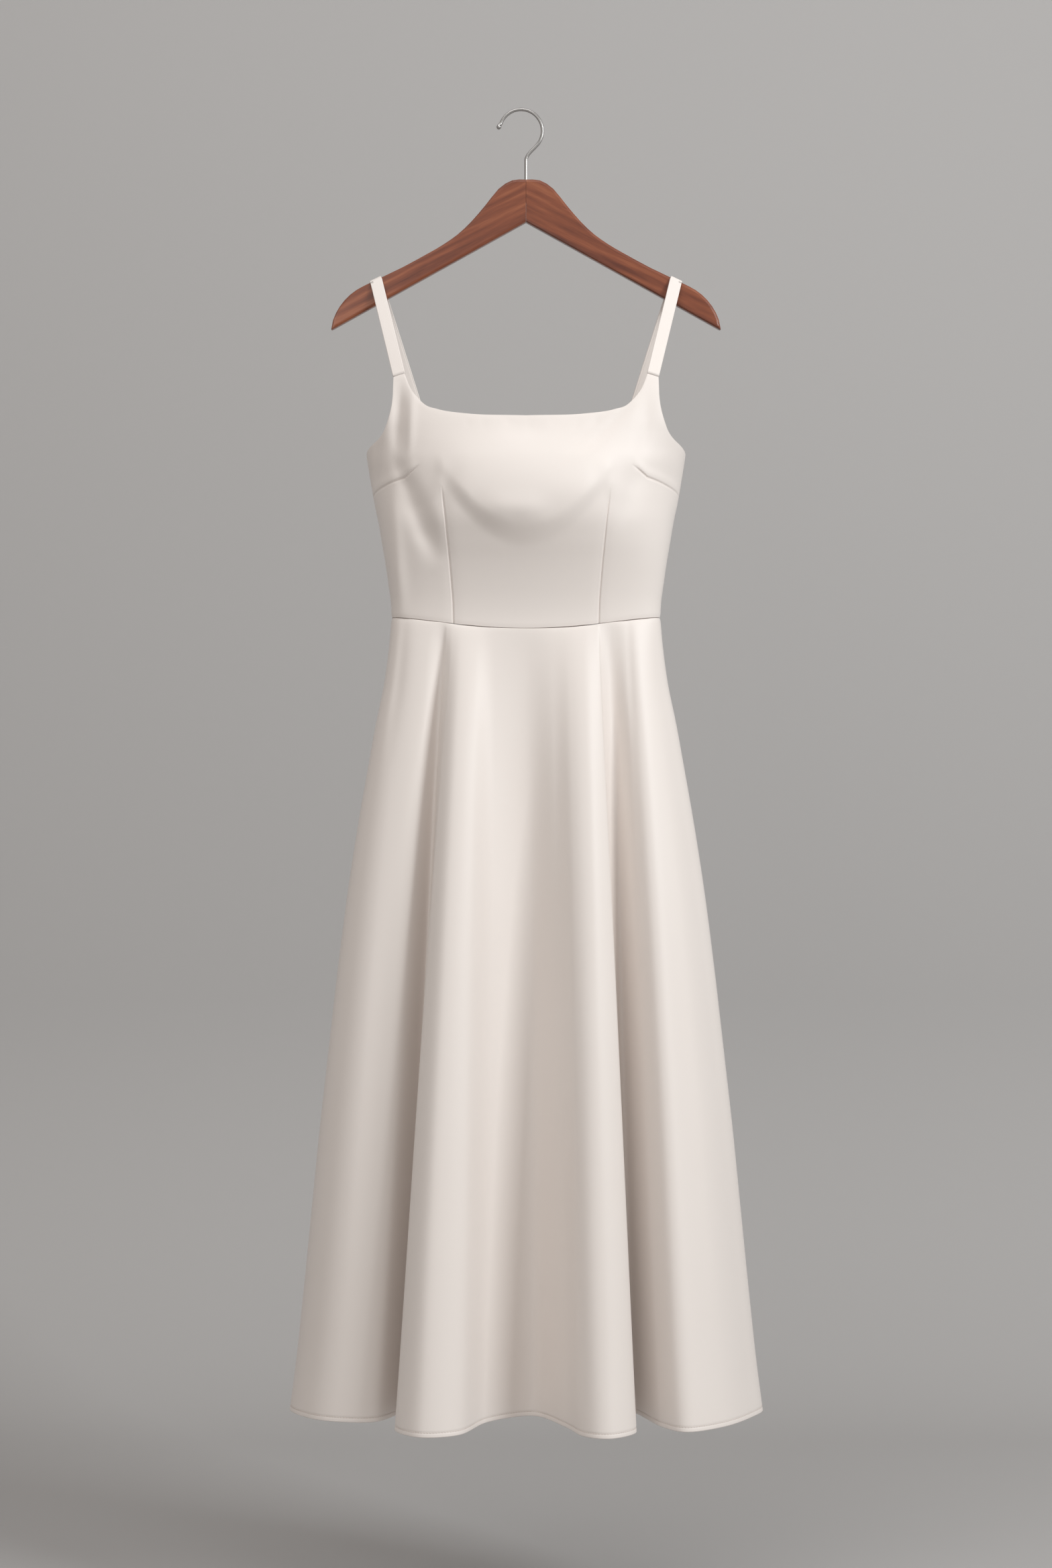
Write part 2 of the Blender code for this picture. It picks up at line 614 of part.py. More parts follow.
def hanger_outline():
    """Closed outline in X and Z, from the middle of the crown round by the right arm."""
    x = np.linspace(0.0, HANGER_ARM_START[0], CROWN_STEPS)
    right = list(zip(x, smooth_value(x, CROWN_X, CROWN_LEVEL)))
    start = pi / 2.0 - HANGER_ARM_SLOPE
    tip_x = HANGER_HALF_WIDTH - HANGER_TIP_RADIUS
    tip_level = arm_top(tip_x) - HANGER_TIP_RADIUS / cos(HANGER_ARM_SLOPE)
    for angle in np.linspace(start, HANGER_TIP_END_ANGLE, TIP_STEPS):
        right.append((tip_x + HANGER_TIP_RADIUS * cos(angle), tip_level + HANGER_TIP_RADIUS * sin(angle)))
    right.append(HANGER_LOWER_CORNER)
    left = [(-px, pz) for px, pz in reversed(right[1:])]
    return right + [(0.0, HANGER_NOTCH_LEVEL)] + left


def cutter(name, size, location, collection):
    """Box or rod that cuts and is not part of the hanger."""
    if len(size) == 3:
        bpy.ops.mesh.primitive_cube_add(size=MM, location=[v * MM for v in location])
        tool = bpy.context.object
        tool.scale = size
    else:
        radius, depth = size
        bpy.ops.mesh.primitive_cylinder_add(vertices=16, radius=radius * MM, depth=depth * MM,
                                            location=[v * MM for v in location])
        tool = bpy.context.object
    tool.name = name
    for owner in list(tool.users_collection):
        owner.objects.unlink(tool)
    collection.objects.link(tool)
    tool.hide_render = True
    tool.display_type = "WIRE"
    return tool


def hanger_blank():
    """Mesh of the whole flat hanger, before it is parted at the mitre."""
    curve = bpy.data.curves.new("hanger_outline", "CURVE")
    curve.dimensions = "2D"
    curve.fill_mode = "BOTH"
    curve.extrude = HANGER_THICKNESS / 2.0 * MM
    outline = hanger_outline()
    spline = curve.splines.new("POLY")
    spline.points.add(len(outline) - 1)
    for point, (x, z) in zip(spline.points, outline):
        point.co = (x * MM, z * MM, 0.0, 1.0)
    spline.use_cyclic_u = True
    source = bpy.data.objects.new("hanger_outline", curve)
    bpy.context.scene.collection.objects.link(source)
    source.rotation_euler = (pi / 2.0, 0.0, 0.0)
    bpy.context.view_layer.update()
    evaluated = source.evaluated_get(bpy.context.evaluated_depsgraph_get())
    mesh = bpy.data.meshes.new_from_object(evaluated)
    mesh.transform(source.matrix_world)
    bpy.data.objects.remove(source)
    work = bmesh.new()
    work.from_mesh(mesh)
    bmesh.ops.remove_doubles(work, verts=work.verts, dist=0.00001)
    bmesh.ops.dissolve_limit(work, angle_limit=radians(0.5), verts=work.verts, edges=work.edges)
    bmesh.ops.recalc_face_normals(work, faces=work.faces)
    work.to_mesh(mesh)
    work.free()
    mesh.name = "hanger_blank"
    return mesh


def hanger_arm(side, name, blank, bore, collection, cutters, material):
    """One arm: the blank with rounded edges, cut off at the mitre and bored for the hook's stem."""
    arm = bpy.data.objects.new(name, blank)
    finish_object(arm, collection, material)
    rounding = arm.modifiers.new("rounded_edges", "BEVEL")
    rounding.width = HANGER_EDGE_ROUND * MM
    rounding.segments = 3
    rounding.limit_method = "ANGLE"
    rounding.angle_limit = radians(60.0)
    other_half = cutter("mitre_" + name, (MITRE_TOOL_REACH, MITRE_TOOL_DEPTH, 2.0 * MITRE_TOOL_REACH),
                        (-side * (MITRE_TOOL_REACH - SEAM_GAP) / 2.0, 0.0, -MITRE_TOOL_REACH / 2.0),
                        cutters)
    for label, tool in (("mitre", other_half), ("stem_bore", bore)):
        cut = arm.modifiers.new(label, "BOOLEAN")
        cut.operation = "DIFFERENCE"
        cut.object = tool
    return arm


def hook_route():
    """Middle line of the wire, from the ball end over the bow and down the stem, with its radii."""
    route = []
    radii = []
    ball_start = radians(HOOK_BALL_ANGLE)
    ball_turn = HOOK_BALL_RADIUS / HOOK_RADIUS
    for share in (-0.95, -0.6, 0.0, 0.6):
        angle = ball_start - ball_turn * share
        route.append((HOOK_CENTRE[0] + HOOK_BALL_OFFSET * HOOK_RADIUS * cos(angle),
                      HOOK_CENTRE[1] + HOOK_BALL_OFFSET * HOOK_RADIUS * sin(angle)))
        radii.append(HOOK_BALL_RADIUS * (1.0 - share * share) ** 0.5)
    for angle in np.radians(np.linspace(HOOK_START_ANGLE, HOOK_END_ANGLE, HOOK_BOW_STEPS)):
        route.append((HOOK_CENTRE[0] + HOOK_RADIUS * cos(angle),
                      HOOK_CENTRE[1] + HOOK_RADIUS * sin(angle)))
        radii.append(WIRE_RADIUS)
    last = np.array(route[-1])
    leave = np.array([cos(HOOK_LEAVE_ANGLE), sin(HOOK_LEAVE_ANGLE)])
    neck = np.array([0.0, HOOK_NECK_LEVEL])
    for part in (0.25, 0.5, 0.75, 1.0):
        first_pull = last + HOOK_LEAVE_PULL * leave
        last_pull = neck + np.array([0.0, NECK_PULL])
        spot = ((1 - part) ** 3 * last + 3 * (1 - part) ** 2 * part * first_pull
                + 3 * (1 - part) * part ** 2 * last_pull + part ** 3 * neck)
        route.append(tuple(spot))
        radii.append(WIRE_RADIUS)
    route.append((0.0, STEM_END_LEVEL))
    radii.append(WIRE_RADIUS)
    return route, radii


def hanger_hook(collection, material):
    route, radii = hook_route()
    curve = bpy.data.curves.new("hanger_hook", "CURVE")
    curve.dimensions = "3D"
    curve.bevel_depth = WIRE_RADIUS * MM
    curve.bevel_resolution = 2
    curve.use_fill_caps = True
    spline = curve.splines.new("POLY")
    spline.points.add(len(route) - 1)
    for point, (x, z), radius in zip(spline.points, route, radii):
        point.co = (x * MM, 0.0, z * MM, 1.0)
        point.radius = radius / WIRE_RADIUS
    spline.use_smooth = True
    hook = bpy.data.objects.new("hanger_hook", curve)
    finish_object(hook, collection, material)
    return hook


def build():
    for old in list(bpy.data.objects):
        bpy.data.objects.remove(old)
    parts = bpy.data.collections.new(NAME)
    cutters = bpy.data.collections.new("cutters")
    bpy.context.scene.collection.children.link(parts)
    bpy.context.scene.collection.children.link(cutters)

    satin = new_material("ivory_satin", SATIN, 0.45, 0.0)
    tape = new_material("zip_tape", ZIP_TAPE, 0.7, 0.0)
    wood = new_material("mahogany_varnish", MAHOGANY, 0.25, 0.0)
    steel = new_material("steel_wire", STEEL, 0.3, 1.0)

    bodice_front(parts, satin)
    bodice_back(-1, "bodice_back_left", parts, satin)
    bodice_back(1, "bodice_back_right", parts, satin)
    right_seam = float(len(FRONT_FOLDS))
    centre_back = float([fold.name for fold in SKIRT_FOLDS].index("centre_back"))
    left_seam = float(len(SKIRT_FOLDS))
    skirt_panel("skirt_front", 0.0, right_seam, COLUMNS_PER_FOLD_FRONT, parts, satin)
    skirt_panel("skirt_back_right", right_seam, centre_back, COLUMNS_PER_FOLD_BACK, parts, satin, 1)
    skirt_panel("skirt_back_left", centre_back, left_seam, COLUMNS_PER_FOLD_BACK, parts, satin, -1)
    back_zip(parts, tape)
    strap(-1, "strap_left", parts, satin)
    strap(1, "strap_right", parts, satin)

    blank = hanger_blank()
    bore_bottom = STEM_END_LEVEL - BORE_CLEARANCE
    bore = cutter("stem_bore", (WIRE_RADIUS + BORE_CLEARANCE, BORE_TOP_LEVEL - bore_bottom),
                  (0.0, 0.0, (BORE_TOP_LEVEL + bore_bottom) / 2.0), cutters)
    hanger_arm(-1, "hanger_arm_left", blank, bore, parts, cutters, wood)
    hanger_arm(1, "hanger_arm_right", blank, bore, parts, cutters, wood)
    hanger_hook(parts, steel)


build()
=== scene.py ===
# Looks of the midi dress on its hanger. The solids' own formulas are repeated here on finer grids,
# and the seams, darts, creases, stitches, weave, wood grain and wire are added.
# Sizes are in millimetres and the mesh makers turn them into metres. The dress faces -Y, +Z is up.
import bpy
import bmesh
import numpy as np
from math import atan2, cos, pi, radians, sin, tan
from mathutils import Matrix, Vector


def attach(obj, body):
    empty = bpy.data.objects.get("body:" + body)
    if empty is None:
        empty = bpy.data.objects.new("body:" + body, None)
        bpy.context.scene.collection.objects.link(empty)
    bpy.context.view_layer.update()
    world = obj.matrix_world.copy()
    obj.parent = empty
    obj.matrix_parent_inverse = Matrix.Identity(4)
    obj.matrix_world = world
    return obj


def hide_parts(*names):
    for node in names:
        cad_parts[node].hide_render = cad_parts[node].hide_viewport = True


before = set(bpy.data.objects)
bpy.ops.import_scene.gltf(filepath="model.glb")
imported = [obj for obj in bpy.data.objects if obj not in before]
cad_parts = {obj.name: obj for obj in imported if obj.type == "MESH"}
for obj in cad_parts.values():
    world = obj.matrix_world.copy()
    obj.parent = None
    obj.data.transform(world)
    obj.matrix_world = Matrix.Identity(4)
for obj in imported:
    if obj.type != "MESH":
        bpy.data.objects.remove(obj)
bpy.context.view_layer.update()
mm = 0.001

# ---- shared tables

cloth = {
    "wall": 1.4,
    "seamGap": 0.3,
    "edgeRound": 0.55,   # radius of a turned edge
    "seamDip": 0.5,      # how far a panel dips to its seams
    "seamDipWidth": 3.0,
}

# level, half width, front depth, back depth, power of the section: 2 is a lens, 1 an ellipse
bodiceSections = np.array([
    (-600.0, 152.5, 45.5, 50.0, 0.62),
    (-576.0, 152.5, 46.0, 50.0, 0.62),
    (-560.0, 153.2, 48.5, 50.0, 0.62),
    (-537.0, 156.2, 55.0, 51.0, 0.64),
    (-514.0, 159.5, 64.0, 53.0, 0.68),
    (-491.0, 163.5, 75.5, 56.0, 0.80),
    (-468.0, 167.5, 86.0, 58.0, 0.95),
    (-445.0, 172.5, 91.0, 60.0, 1.10),
    (-422.0, 176.5, 91.5, 60.0, 1.15),
    (-400.0, 180.0, 88.0, 58.0, 1.05),
    (-387.0, 182.0, 84.0, 56.0, 0.98),
    (-374.0, 183.0, 79.5, 54.0, 0.85),
    (-355.0, 184.0, 73.5, 50.0, 0.65),
    (-330.0, 184.0, 66.0, 46.0, 0.45),
    (-300.0, 184.0, 56.5, 40.0, 0.32),
])

# turn at the waist, turn at the edge, level of the edge, from the middle outwards
frontNeckline = np.array([(0.0, 0.0, -354.4), (20.3, 20.3, -352.1), (32.4, 32.4, -346.4),
                          (40.5, 39.0, -338.5), (45.5, 44.4, -322.7), (50.0, 47.6, -304.7)])
frontArmhole = np.array([(57.0, 53.7, -308.4), (61.0, 53.8, -322.3), (65.5, 54.9, -341.7),
                         (71.0, 58.2, -360.8), (78.0, 64.0, -375.0), (90.0, 90.0, -393.0)])
backNeckline = np.array([(0.0, 0.0, -393.5), (16.0, 16.0, -391.5), (33.9, 33.9, -384.4)])
backArmhole = np.array([(39.4, 39.4, -388.8), (60.0, 60.0, -389.0), (90.0, 90.0, -393.0)])

# turn and level of the line through the darts' tips, which is the side darts' own fold further out
bustLine = np.array([(0.0, -430.0), (32.4, -430.0), (41.4, -408.5), (50.0, -421.5),
                     (66.0, -430.0), (90.0, -441.0)])

# level and half width of the skirt
skirtOutline = np.array([
    (-1474.0, 268.6), (-1428.0, 262.5), (-1337.0, 252.6), (-1246.0, 243.5), (-1154.0, 234.3),
    (-1063.0, 224.0), (-971.0, 213.4), (-880.0, 201.6), (-788.0, 187.0), (-743.0, 179.0),
    (-697.0, 170.7), (-651.0, 161.2), (-605.0, 155.0), (-576.0, 152.5)])

# name, x at the waist, x at the hem, depth at the hem: the fold lines once round the skirt
skirtFolds = (
    ("leftSeam", -152.5, -268.6, 0.0), ("leftFlank", -144.0, -245.0, 44.0),
    ("leftCrown", -130.0, -210.0, 65.0), ("leftInner", -108.0, -166.0, 64.0),
    ("leftValley", -94.0, -134.0, 12.0), ("leftWall", -88.0, -133.0, 60.0),
    ("leftEdge", -81.0, -144.0, 108.0), ("leftRidge", -71.0, -114.0, 141.0),
    ("leftBrow", -56.0, -72.0, 128.0), ("leftSlope", -34.0, -42.0, 66.0),
    ("centreValley", 0.0, 8.0, 35.0), ("rightSlope", 29.0, 42.0, 88.0),
    ("rightBrow", 48.0, 62.0, 134.0), ("rightRidge", 64.0, 92.0, 147.0),
    ("rightEdge", 79.0, 121.0, 116.0), ("rightWall", 84.0, 108.0, 66.0),
    ("rightValley", 95.0, 121.0, 20.0), ("rightInner", 111.0, 149.0, 88.0),
    ("rightCrown", 123.0, 177.0, 115.0), ("rightFlank", 136.0, 220.0, 88.0),
    ("rightRear", 144.0, 253.0, 42.0), ("rightSeam", 152.5, 268.6, 0.0),
    ("backRightFlank", 144.0, 244.0, -50.0), ("backRightCrown", 126.0, 200.0, -96.0),
    ("backRightInner", 106.0, 166.0, -64.0), ("backRightValley", 92.0, 146.0, -22.0),
    ("backRightWall", 86.0, 138.0, -84.0), ("backRightRidge", 72.0, 108.0, -142.0),
    ("backRightBrow", 50.0, 66.0, -128.0), ("backRightSlope", 27.0, 36.0, -76.0),
    ("centreBack", 0.0, 0.0, -48.0), ("backLeftSlope", -27.0, -34.0, -70.0),
    ("backLeftBrow", -50.0, -68.0, -132.0), ("backLeftRidge", -72.0, -112.0, -138.0),
    ("backLeftWall", -86.0, -140.0, -78.0), ("backLeftValley", -92.0, -148.0, -24.0),
    ("backLeftInner", -106.0, -168.0, -70.0), ("backLeftCrown", -126.0, -205.0, -92.0),
    ("backLeftFlank", -144.0, -246.0, -46.0))
foldNames = [fold[0] for fold in skirtFolds]
foldCount = len(skirtFolds)
rightSeamStation = float(foldNames.index("rightSeam"))
centreBackStation = float(foldNames.index("centreBack"))

levels = {
    "waist": -576.0,
    "waistDipFront": 13.5,
    "waistDipBack": 6.0,
    "waistDipPower": 3.0,
    "hem": -1474.0,
}

# ---- numbers into curves


def smoothValue(at, stations, values):
    # cubic Hermite curve through the values, with slopes from their neighbours
    stations = np.asarray(stations, dtype=float)
    values = np.asarray(values, dtype=float)
    slopes = np.gradient(values, stations)
    at = np.clip(np.asarray(at, dtype=float), stations[0], stations[-1])
    low = np.clip(np.searchsorted(stations, at) - 1, 0, len(stations) - 2)
    step = stations[low + 1] - stations[low]
    part = (at - stations[low]) / step
    rise = part * part * (3.0 - 2.0 * part)
    leave = part * (1.0 - part) ** 2 * step * slopes[low]
    arrive = part * part * (part - 1.0) * step * slopes[low + 1]
    return values[low] * (1.0 - rise) + values[low + 1] * rise + leave + arrive


def smoothRing(at, values):
    # closed cubic curve through evenly counted values
    values = np.asarray(values, dtype=float)
    low = np.floor(at).astype(int)
    part = at - low
    before, here, there, after = (values[(low + k) % len(values)] for k in (-1, 0, 1, 2))
    rise = part * part * (3.0 - 2.0 * part)
    leave = part * (1.0 - part) ** 2 * (there - before) / 2.0
    arrive = part * part * (part - 1.0) * (after - here) / 2.0
    return here * (1.0 - rise) + there * rise + leave + arrive


def smoothStep(value, low, high):
    part = np.clip((value - low) / (high - low), 0.0, 1.0)
    return part * part * (3.0 - 2.0 * part)


def denseStations(start, end, count, spots, spread, gain):
    # stations whose spacing shrinks by the gain near each spot: the inverse of the summed density
    fine = np.linspace(start, end, 6000)
    density = 1.0 + gain * sum(np.exp(-((fine - spot) / spread) ** 2) for spot in spots)
    total = np.cumsum(density)
    total = (total - total[0]) / (total[-1] - total[0])
    return np.interp(np.linspace(0.0, 1.0, count), total, fine)


# ---- bodice surface

bodiceLook = {
    "columns": 250,
    "rowsUnder": 84,
    "rowsOver": 66,
    "backColumns": 100,
    "backRows": 80,
    "bustShare": 0.55,             # part of the panel's lean that is reached at the bust line
    "dartTurn": 32.4,
    "sideDartTip": 41.4,
    "waistDartDepth": 1.3,
    "waistDartWidth": 1.1,
    "waistDartRunOut": 30.0,       # way down from the tip to the groove's full depth
    "waistDartDip": (0.7, 7.0),    # depth and half width of the soft dip around the seam
    "waistDipRunOut": (-6.0, 20.0),
    "sideDartDepth": 1.6,
    "sideDartWidth": 1.3,
    "sideDartRunOut": 5.0,
    "sideDartRoll": (0.9, 5.0),    # height of the roll above the seam and its distance from it
    "ledgeDepth": 5.0,
    "ledgeLowest": -488.0,
    "ledgeRise": 56.0,
    "ledgeSpan": 83.0,
    "ledgeEnds": (0.75, 1.35),     # parts of the span where the ledge starts and ends its fade
    "ledgeSoftness": 14.0,
    "ledgeFade": (-450.0, -365.0),
}

# x and level of both ends, half width, depth: a plus is a trough and a minus a ridge
bodiceCreases = (
    (-141.0, -322.0, -144.0, -392.0, 7.5, 4.6),
    (-165.0, -366.0, -172.0, -430.0, 5.0, 2.2),
    (-148.0, -398.0, -128.0, -440.0, 8.0, 2.6),
    (-132.0, -432.0, -102.0, -506.0, 12.0, 6.4),
    (-126.0, -326.0, -130.0, -396.0, 5.0, -1.6),
    (-152.0, -436.0, -143.0, -566.0, 10.0, -4.2),
    (-44.0, -458.0, 20.0, -462.0, 15.0, -3.0),
    (137.0, -332.0, 128.0, -402.0, 9.0, 1.3),
    (122.0, -414.0, 106.0, -474.0, 12.0, 1.6),
    (112.0, -346.0, 66.0, -392.0, 6.5, 1.6),
    (90.0, -350.0, 50.0, -392.0, 6.5, 1.0),
    (152.0, -345.0, 160.0, -415.0, 9.0, -1.1),
    (-26.0, -366.0, 20.0, -370.0, 15.0, 1.1),
    (-92.0, -404.0, -97.0, -442.0, 8.0, -1.2),
    (88.0, -404.0, 94.0, -442.0, 8.0, -1.0),
    (-66.0, -357.0, -64.0, -368.0, 2.4, 0.35),
    (-47.0, -356.0, -46.0, -371.0, 2.2, 0.30),
    (-21.0, -356.0, -20.0, -366.0, 2.6, 0.35),
    (4.0, -356.0, 3.0, -372.0, 2.4, 0.32),
    (31.0, -356.0, 29.0, -367.0, 2.2, 0.35),
    (58.0, -357.0, 55.0, -371.0, 2.6, 0.32),
    (80.0, -355.0, 76.0, -366.0, 2.4, 0.30),
)


def creaseField(x, level, creases):
    # each crease is a Gaussian across its line that fades out at both ends
    total = np.zeros_like(x)
    for x0, z0, x1, z1, width, depth in creases:
        alongX, alongZ = x1 - x0, z1 - z0
        length = np.hypot(alongX, alongZ)
        part = ((x - x0) * alongX + (level - z0) * alongZ) / length ** 2
        off = ((x - x0) * alongZ - (level - z0) * alongX) / length
        fade = smoothStep(part, -0.25, 0.35) * (1.0 - smoothStep(part, 0.65, 1.25))
        total += depth * np.exp(-(off / width) ** 2) * fade
    return total


def sectionValue(level, column):
    return smoothValue(level, bodiceSections[:, 0], bodiceSections[:, column])


def waistLevel(turn):
    across = np.cos(np.radians(turn))
    dip = np.where(across > 0.0, levels["waistDipFront"], levels["waistDipBack"])
    return levels["waist"] - dip * np.abs(across) ** levels["waistDipPower"]


def bustLevel(turn):
    return np.interp(np.abs(turn), bustLine[:, 0], bustLine[:, 1])


def bustLedge(x, level):
    # fullness above the parabola that joins the tips of the waist darts
    look = bodiceLook
    ledgeLevel = look["ledgeLowest"] + look["ledgeRise"] * (x / look["ledgeSpan"]) ** 2
    over = smoothStep(level - ledgeLevel, -look["ledgeSoftness"], look["ledgeSoftness"])
    fadeStart, fadeEnd = (part * look["ledgeSpan"] for part in look["ledgeEnds"])
    inside = 1.0 - smoothStep(np.abs(x), fadeStart, fadeEnd)
    fade = 1.0 - smoothStep(level, *look["ledgeFade"])
    return look["ledgeDepth"] * over * inside * fade


def dartGroove(turn, level):
    # a fine V along each dart seam with a soft dip beside it, running out at the tip
    look = bodiceLook
    width = sectionValue(level, 1)
    offWaist = np.abs(np.abs(turn) - look["dartTurn"]) * pi / 180.0 * width
    downFromTip = bustLevel(turn) - level
    reach = smoothStep(downFromTip, 0.0, look["waistDartRunOut"])
    waistDart = look["waistDartDepth"] * np.exp(-(offWaist / look["waistDartWidth"]) ** 2) * reach
    dipDepth, dipWidth = look["waistDartDip"]
    dipReach = smoothStep(downFromTip, *look["waistDipRunOut"])
    waistDart += dipDepth * np.exp(-(offWaist / dipWidth) ** 2) * dipReach
    offSide = np.abs(level - bustLevel(turn))
    sideTip = look["sideDartTip"]
    sideReach = smoothStep(np.abs(turn), sideTip, sideTip + look["sideDartRunOut"])
    sideDart = look["sideDartDepth"] * np.exp(-(offSide / look["sideDartWidth"]) ** 2) * sideReach
    rollHeight, rollPlace = look["sideDartRoll"]
    above = (level - bustLevel(turn)) / rollPlace
    sideDart -= rollHeight * np.exp(-(above - 1.0) ** 2) * sideReach
    return waistDart + sideDart


def bodicePoint(turn, level, detailed=True):
    # x is the half width times the sine of the turn, and the depth is the cosine raised to a power
    across = np.sin(np.radians(turn))
    along = np.cos(np.radians(turn))
    x = sectionValue(level, 1) * across
    bow = np.abs(along) ** sectionValue(level, 4)
    front = sectionValue(level, 2) * bow + bustLedge(x, level)
    if detailed:
        away = smoothStep(along, 0.0, 0.15)
        front = front - (dartGroove(turn, level) + creaseField(x, level, bodiceCreases)) * away
    back = sectionValue(level, 3) * bow
    y = np.where(along > 0.0, -front, back)
    return np.stack([x, y, level + 0.0 * x], axis=-1)


# ---- skirt surface

skirtLook = {
    "frontColumns": 330,
    "backColumns": 150,
    "rows": 120,
    "foldGrowth": 0.75,
    "hemWall": 2.4,
    "hemWidth": 9.0,
    "hemRamp": 1.5,
    "stitchHeight": 5.2,
    "stitchGroove": 0.45,
    "stitchGrooveWidth": 1.1,
    "pucker": (61.0, 23.0),        # two waves round the hem that vary the groove's depth
}

# station of the fold line, part of the drop where it starts and ends, half width in stations, depth
skirtRipples = (
    (1.6, 0.0, 0.16, 0.45, 1.8),
    (3.4, 0.0, 0.16, 0.50, -0.8),
    (8.6, 0.0, 0.30, 0.60, 0.8),
    (11.5, 0.0, 0.35, 0.70, 0.8),
    (13.2, 0.05, 0.50, 0.35, -0.8),
    (17.3, 0.0, 0.14, 0.40, 1.2),
    (19.2, 0.0, 0.25, 0.50, 0.6),
    (2.4, 0.35, 0.95, 0.35, 1.6),
    (18.6, 0.30, 0.90, 0.35, 1.4),
    (7.5, 0.55, 1.00, 0.45, 1.5),
    (12.9, 0.60, 1.00, 0.40, 1.2),
    (9.8, 0.45, 0.95, 0.45, -2.0),
    (23.6, 0.30, 0.95, 0.40, 1.8),
    (27.4, 0.40, 1.00, 0.40, 1.8),
    (29.0, 0.20, 0.80, 0.40, -1.6),
    (32.5, 0.35, 0.95, 0.40, 1.8),
    (36.6, 0.25, 0.90, 0.40, 1.6),
)


def rippleField(station, down):
    # long shallow hollows and swells between the main folds
    total = np.zeros(np.broadcast(station, down).shape)
    for place, start, end, width, depth in skirtRipples:
        off = (station - place + foldCount / 2.0) % foldCount - foldCount / 2.0
        middle = 0.5 * (start + end)
        reach = 0.5 * (end - start)
        total += depth * np.exp(-(off / width) ** 2) * np.exp(-((down - middle) / reach) ** 2)
    return total


def skirtPoint(station, down, detailed=True):
    # each fold line runs from the waist ring to its place at the hem, its depth growing by a power
    station = station % foldCount
    waistX = smoothRing(station, [fold[1] for fold in skirtFolds])
    hemX = smoothRing(station, [fold[2] for fold in skirtFolds])
    hemDepth = smoothRing(station, [fold[3] for fold in skirtFolds])
    waistHalf, hemHalf = skirtOutline[-1, 1], skirtOutline[0, 1]
    turn = np.degrees(np.arcsin(np.clip(waistX / waistHalf, -1.0, 1.0)))
    turn = np.where(station > rightSeamStation, 180.0 - turn, turn)
    waist = bodicePoint(turn, waistLevel(turn), detailed=False)
    level = waist[..., 2] * (1.0 - down) + levels["hem"] * down
    outline = smoothValue(level, skirtOutline[:, 0], skirtOutline[:, 1])
    bulge = outline - (waistHalf * (1.0 - down) + hemHalf * down)
    x = waist[..., 0] * (1.0 - down) + hemX * down + bulge * (hemX / hemHalf) ** 3
    growth = down ** skirtLook["foldGrowth"]
    y = waist[..., 1] * (1.0 - growth) - hemDepth * growth
    if detailed:
        y = y + rippleField(station, down) * np.sign(-y) * smoothStep(np.abs(y), 4.0, 25.0)
    return np.stack([x, y, level], axis=-1)


def surfaceNormals(surface, first, second, firstStep, secondStep):
    # cross product of the surface's own slopes, also across a seam
    along = surface(first + firstStep, second) - surface(first - firstStep, second)
    up = surface(first, second + secondStep) - surface(first, second - secondStep)
    normal = np.cross(along, up)
    return normal / np.linalg.norm(normal, axis=-1, keepdims=True)


def bodiceNormals(turn, level):
    return surfaceNormals(lambda a, b: bodicePoint(a, b, detailed=False), turn, level, 1.5, 2.0)


def skirtNormals(station, down):
    def surface(at, height):
        return skirtPoint(at, np.clip(height, 0.0, 1.0), detailed=False)
    return -surfaceNormals(surface, station, down, 0.03, 0.003)


# ---- meshes


def meshObject(name, points, faces, material, uv=None):
    mesh = bpy.data.meshes.new(name)
    mesh.from_pydata((np.asarray(points).reshape(-1, 3) * mm).tolist(), [], faces)
    if uv is not None:
        layer = mesh.uv_layers.new(name="UVMap")
        corner = np.empty(len(mesh.loops), dtype=np.int32)
        mesh.loops.foreach_get("vertex_index", corner)
        layer.data.foreach_set("uv", (np.asarray(uv).reshape(-1, 2)[corner] * mm).ravel())
    mesh.materials.append(material)
    mesh.shade_smooth()
    made = bpy.data.objects.new(name, mesh)
    bpy.context.scene.collection.objects.link(made)
    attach(made, "root")
    return made


def gridFaces(columns, rows, start=0, flip=False):
    # quads of a grid stored column by column
    a = (np.arange(columns - 1)[:, None] * rows + np.arange(rows - 1)[None]).ravel() + start
    quads = np.stack([a, a + rows, a + rows + 1, a + 1], axis=1)
    return quads[:, ::-1] if flip else quads


def distanceFromEdges(points):
    # running length along the grid from each of its four borders, columns first
    across = np.linalg.norm(np.diff(points, axis=0), axis=-1)
    up = np.linalg.norm(np.diff(points, axis=1), axis=-1)
    fromFirst = np.concatenate([np.zeros((1, points.shape[1])), np.cumsum(across, axis=0)])
    fromLow = np.concatenate([np.zeros((points.shape[0], 1)), np.cumsum(up, axis=1)], axis=1)
    return fromFirst, fromFirst[-1:] - fromFirst, fromLow, fromLow[:, -1:] - fromLow


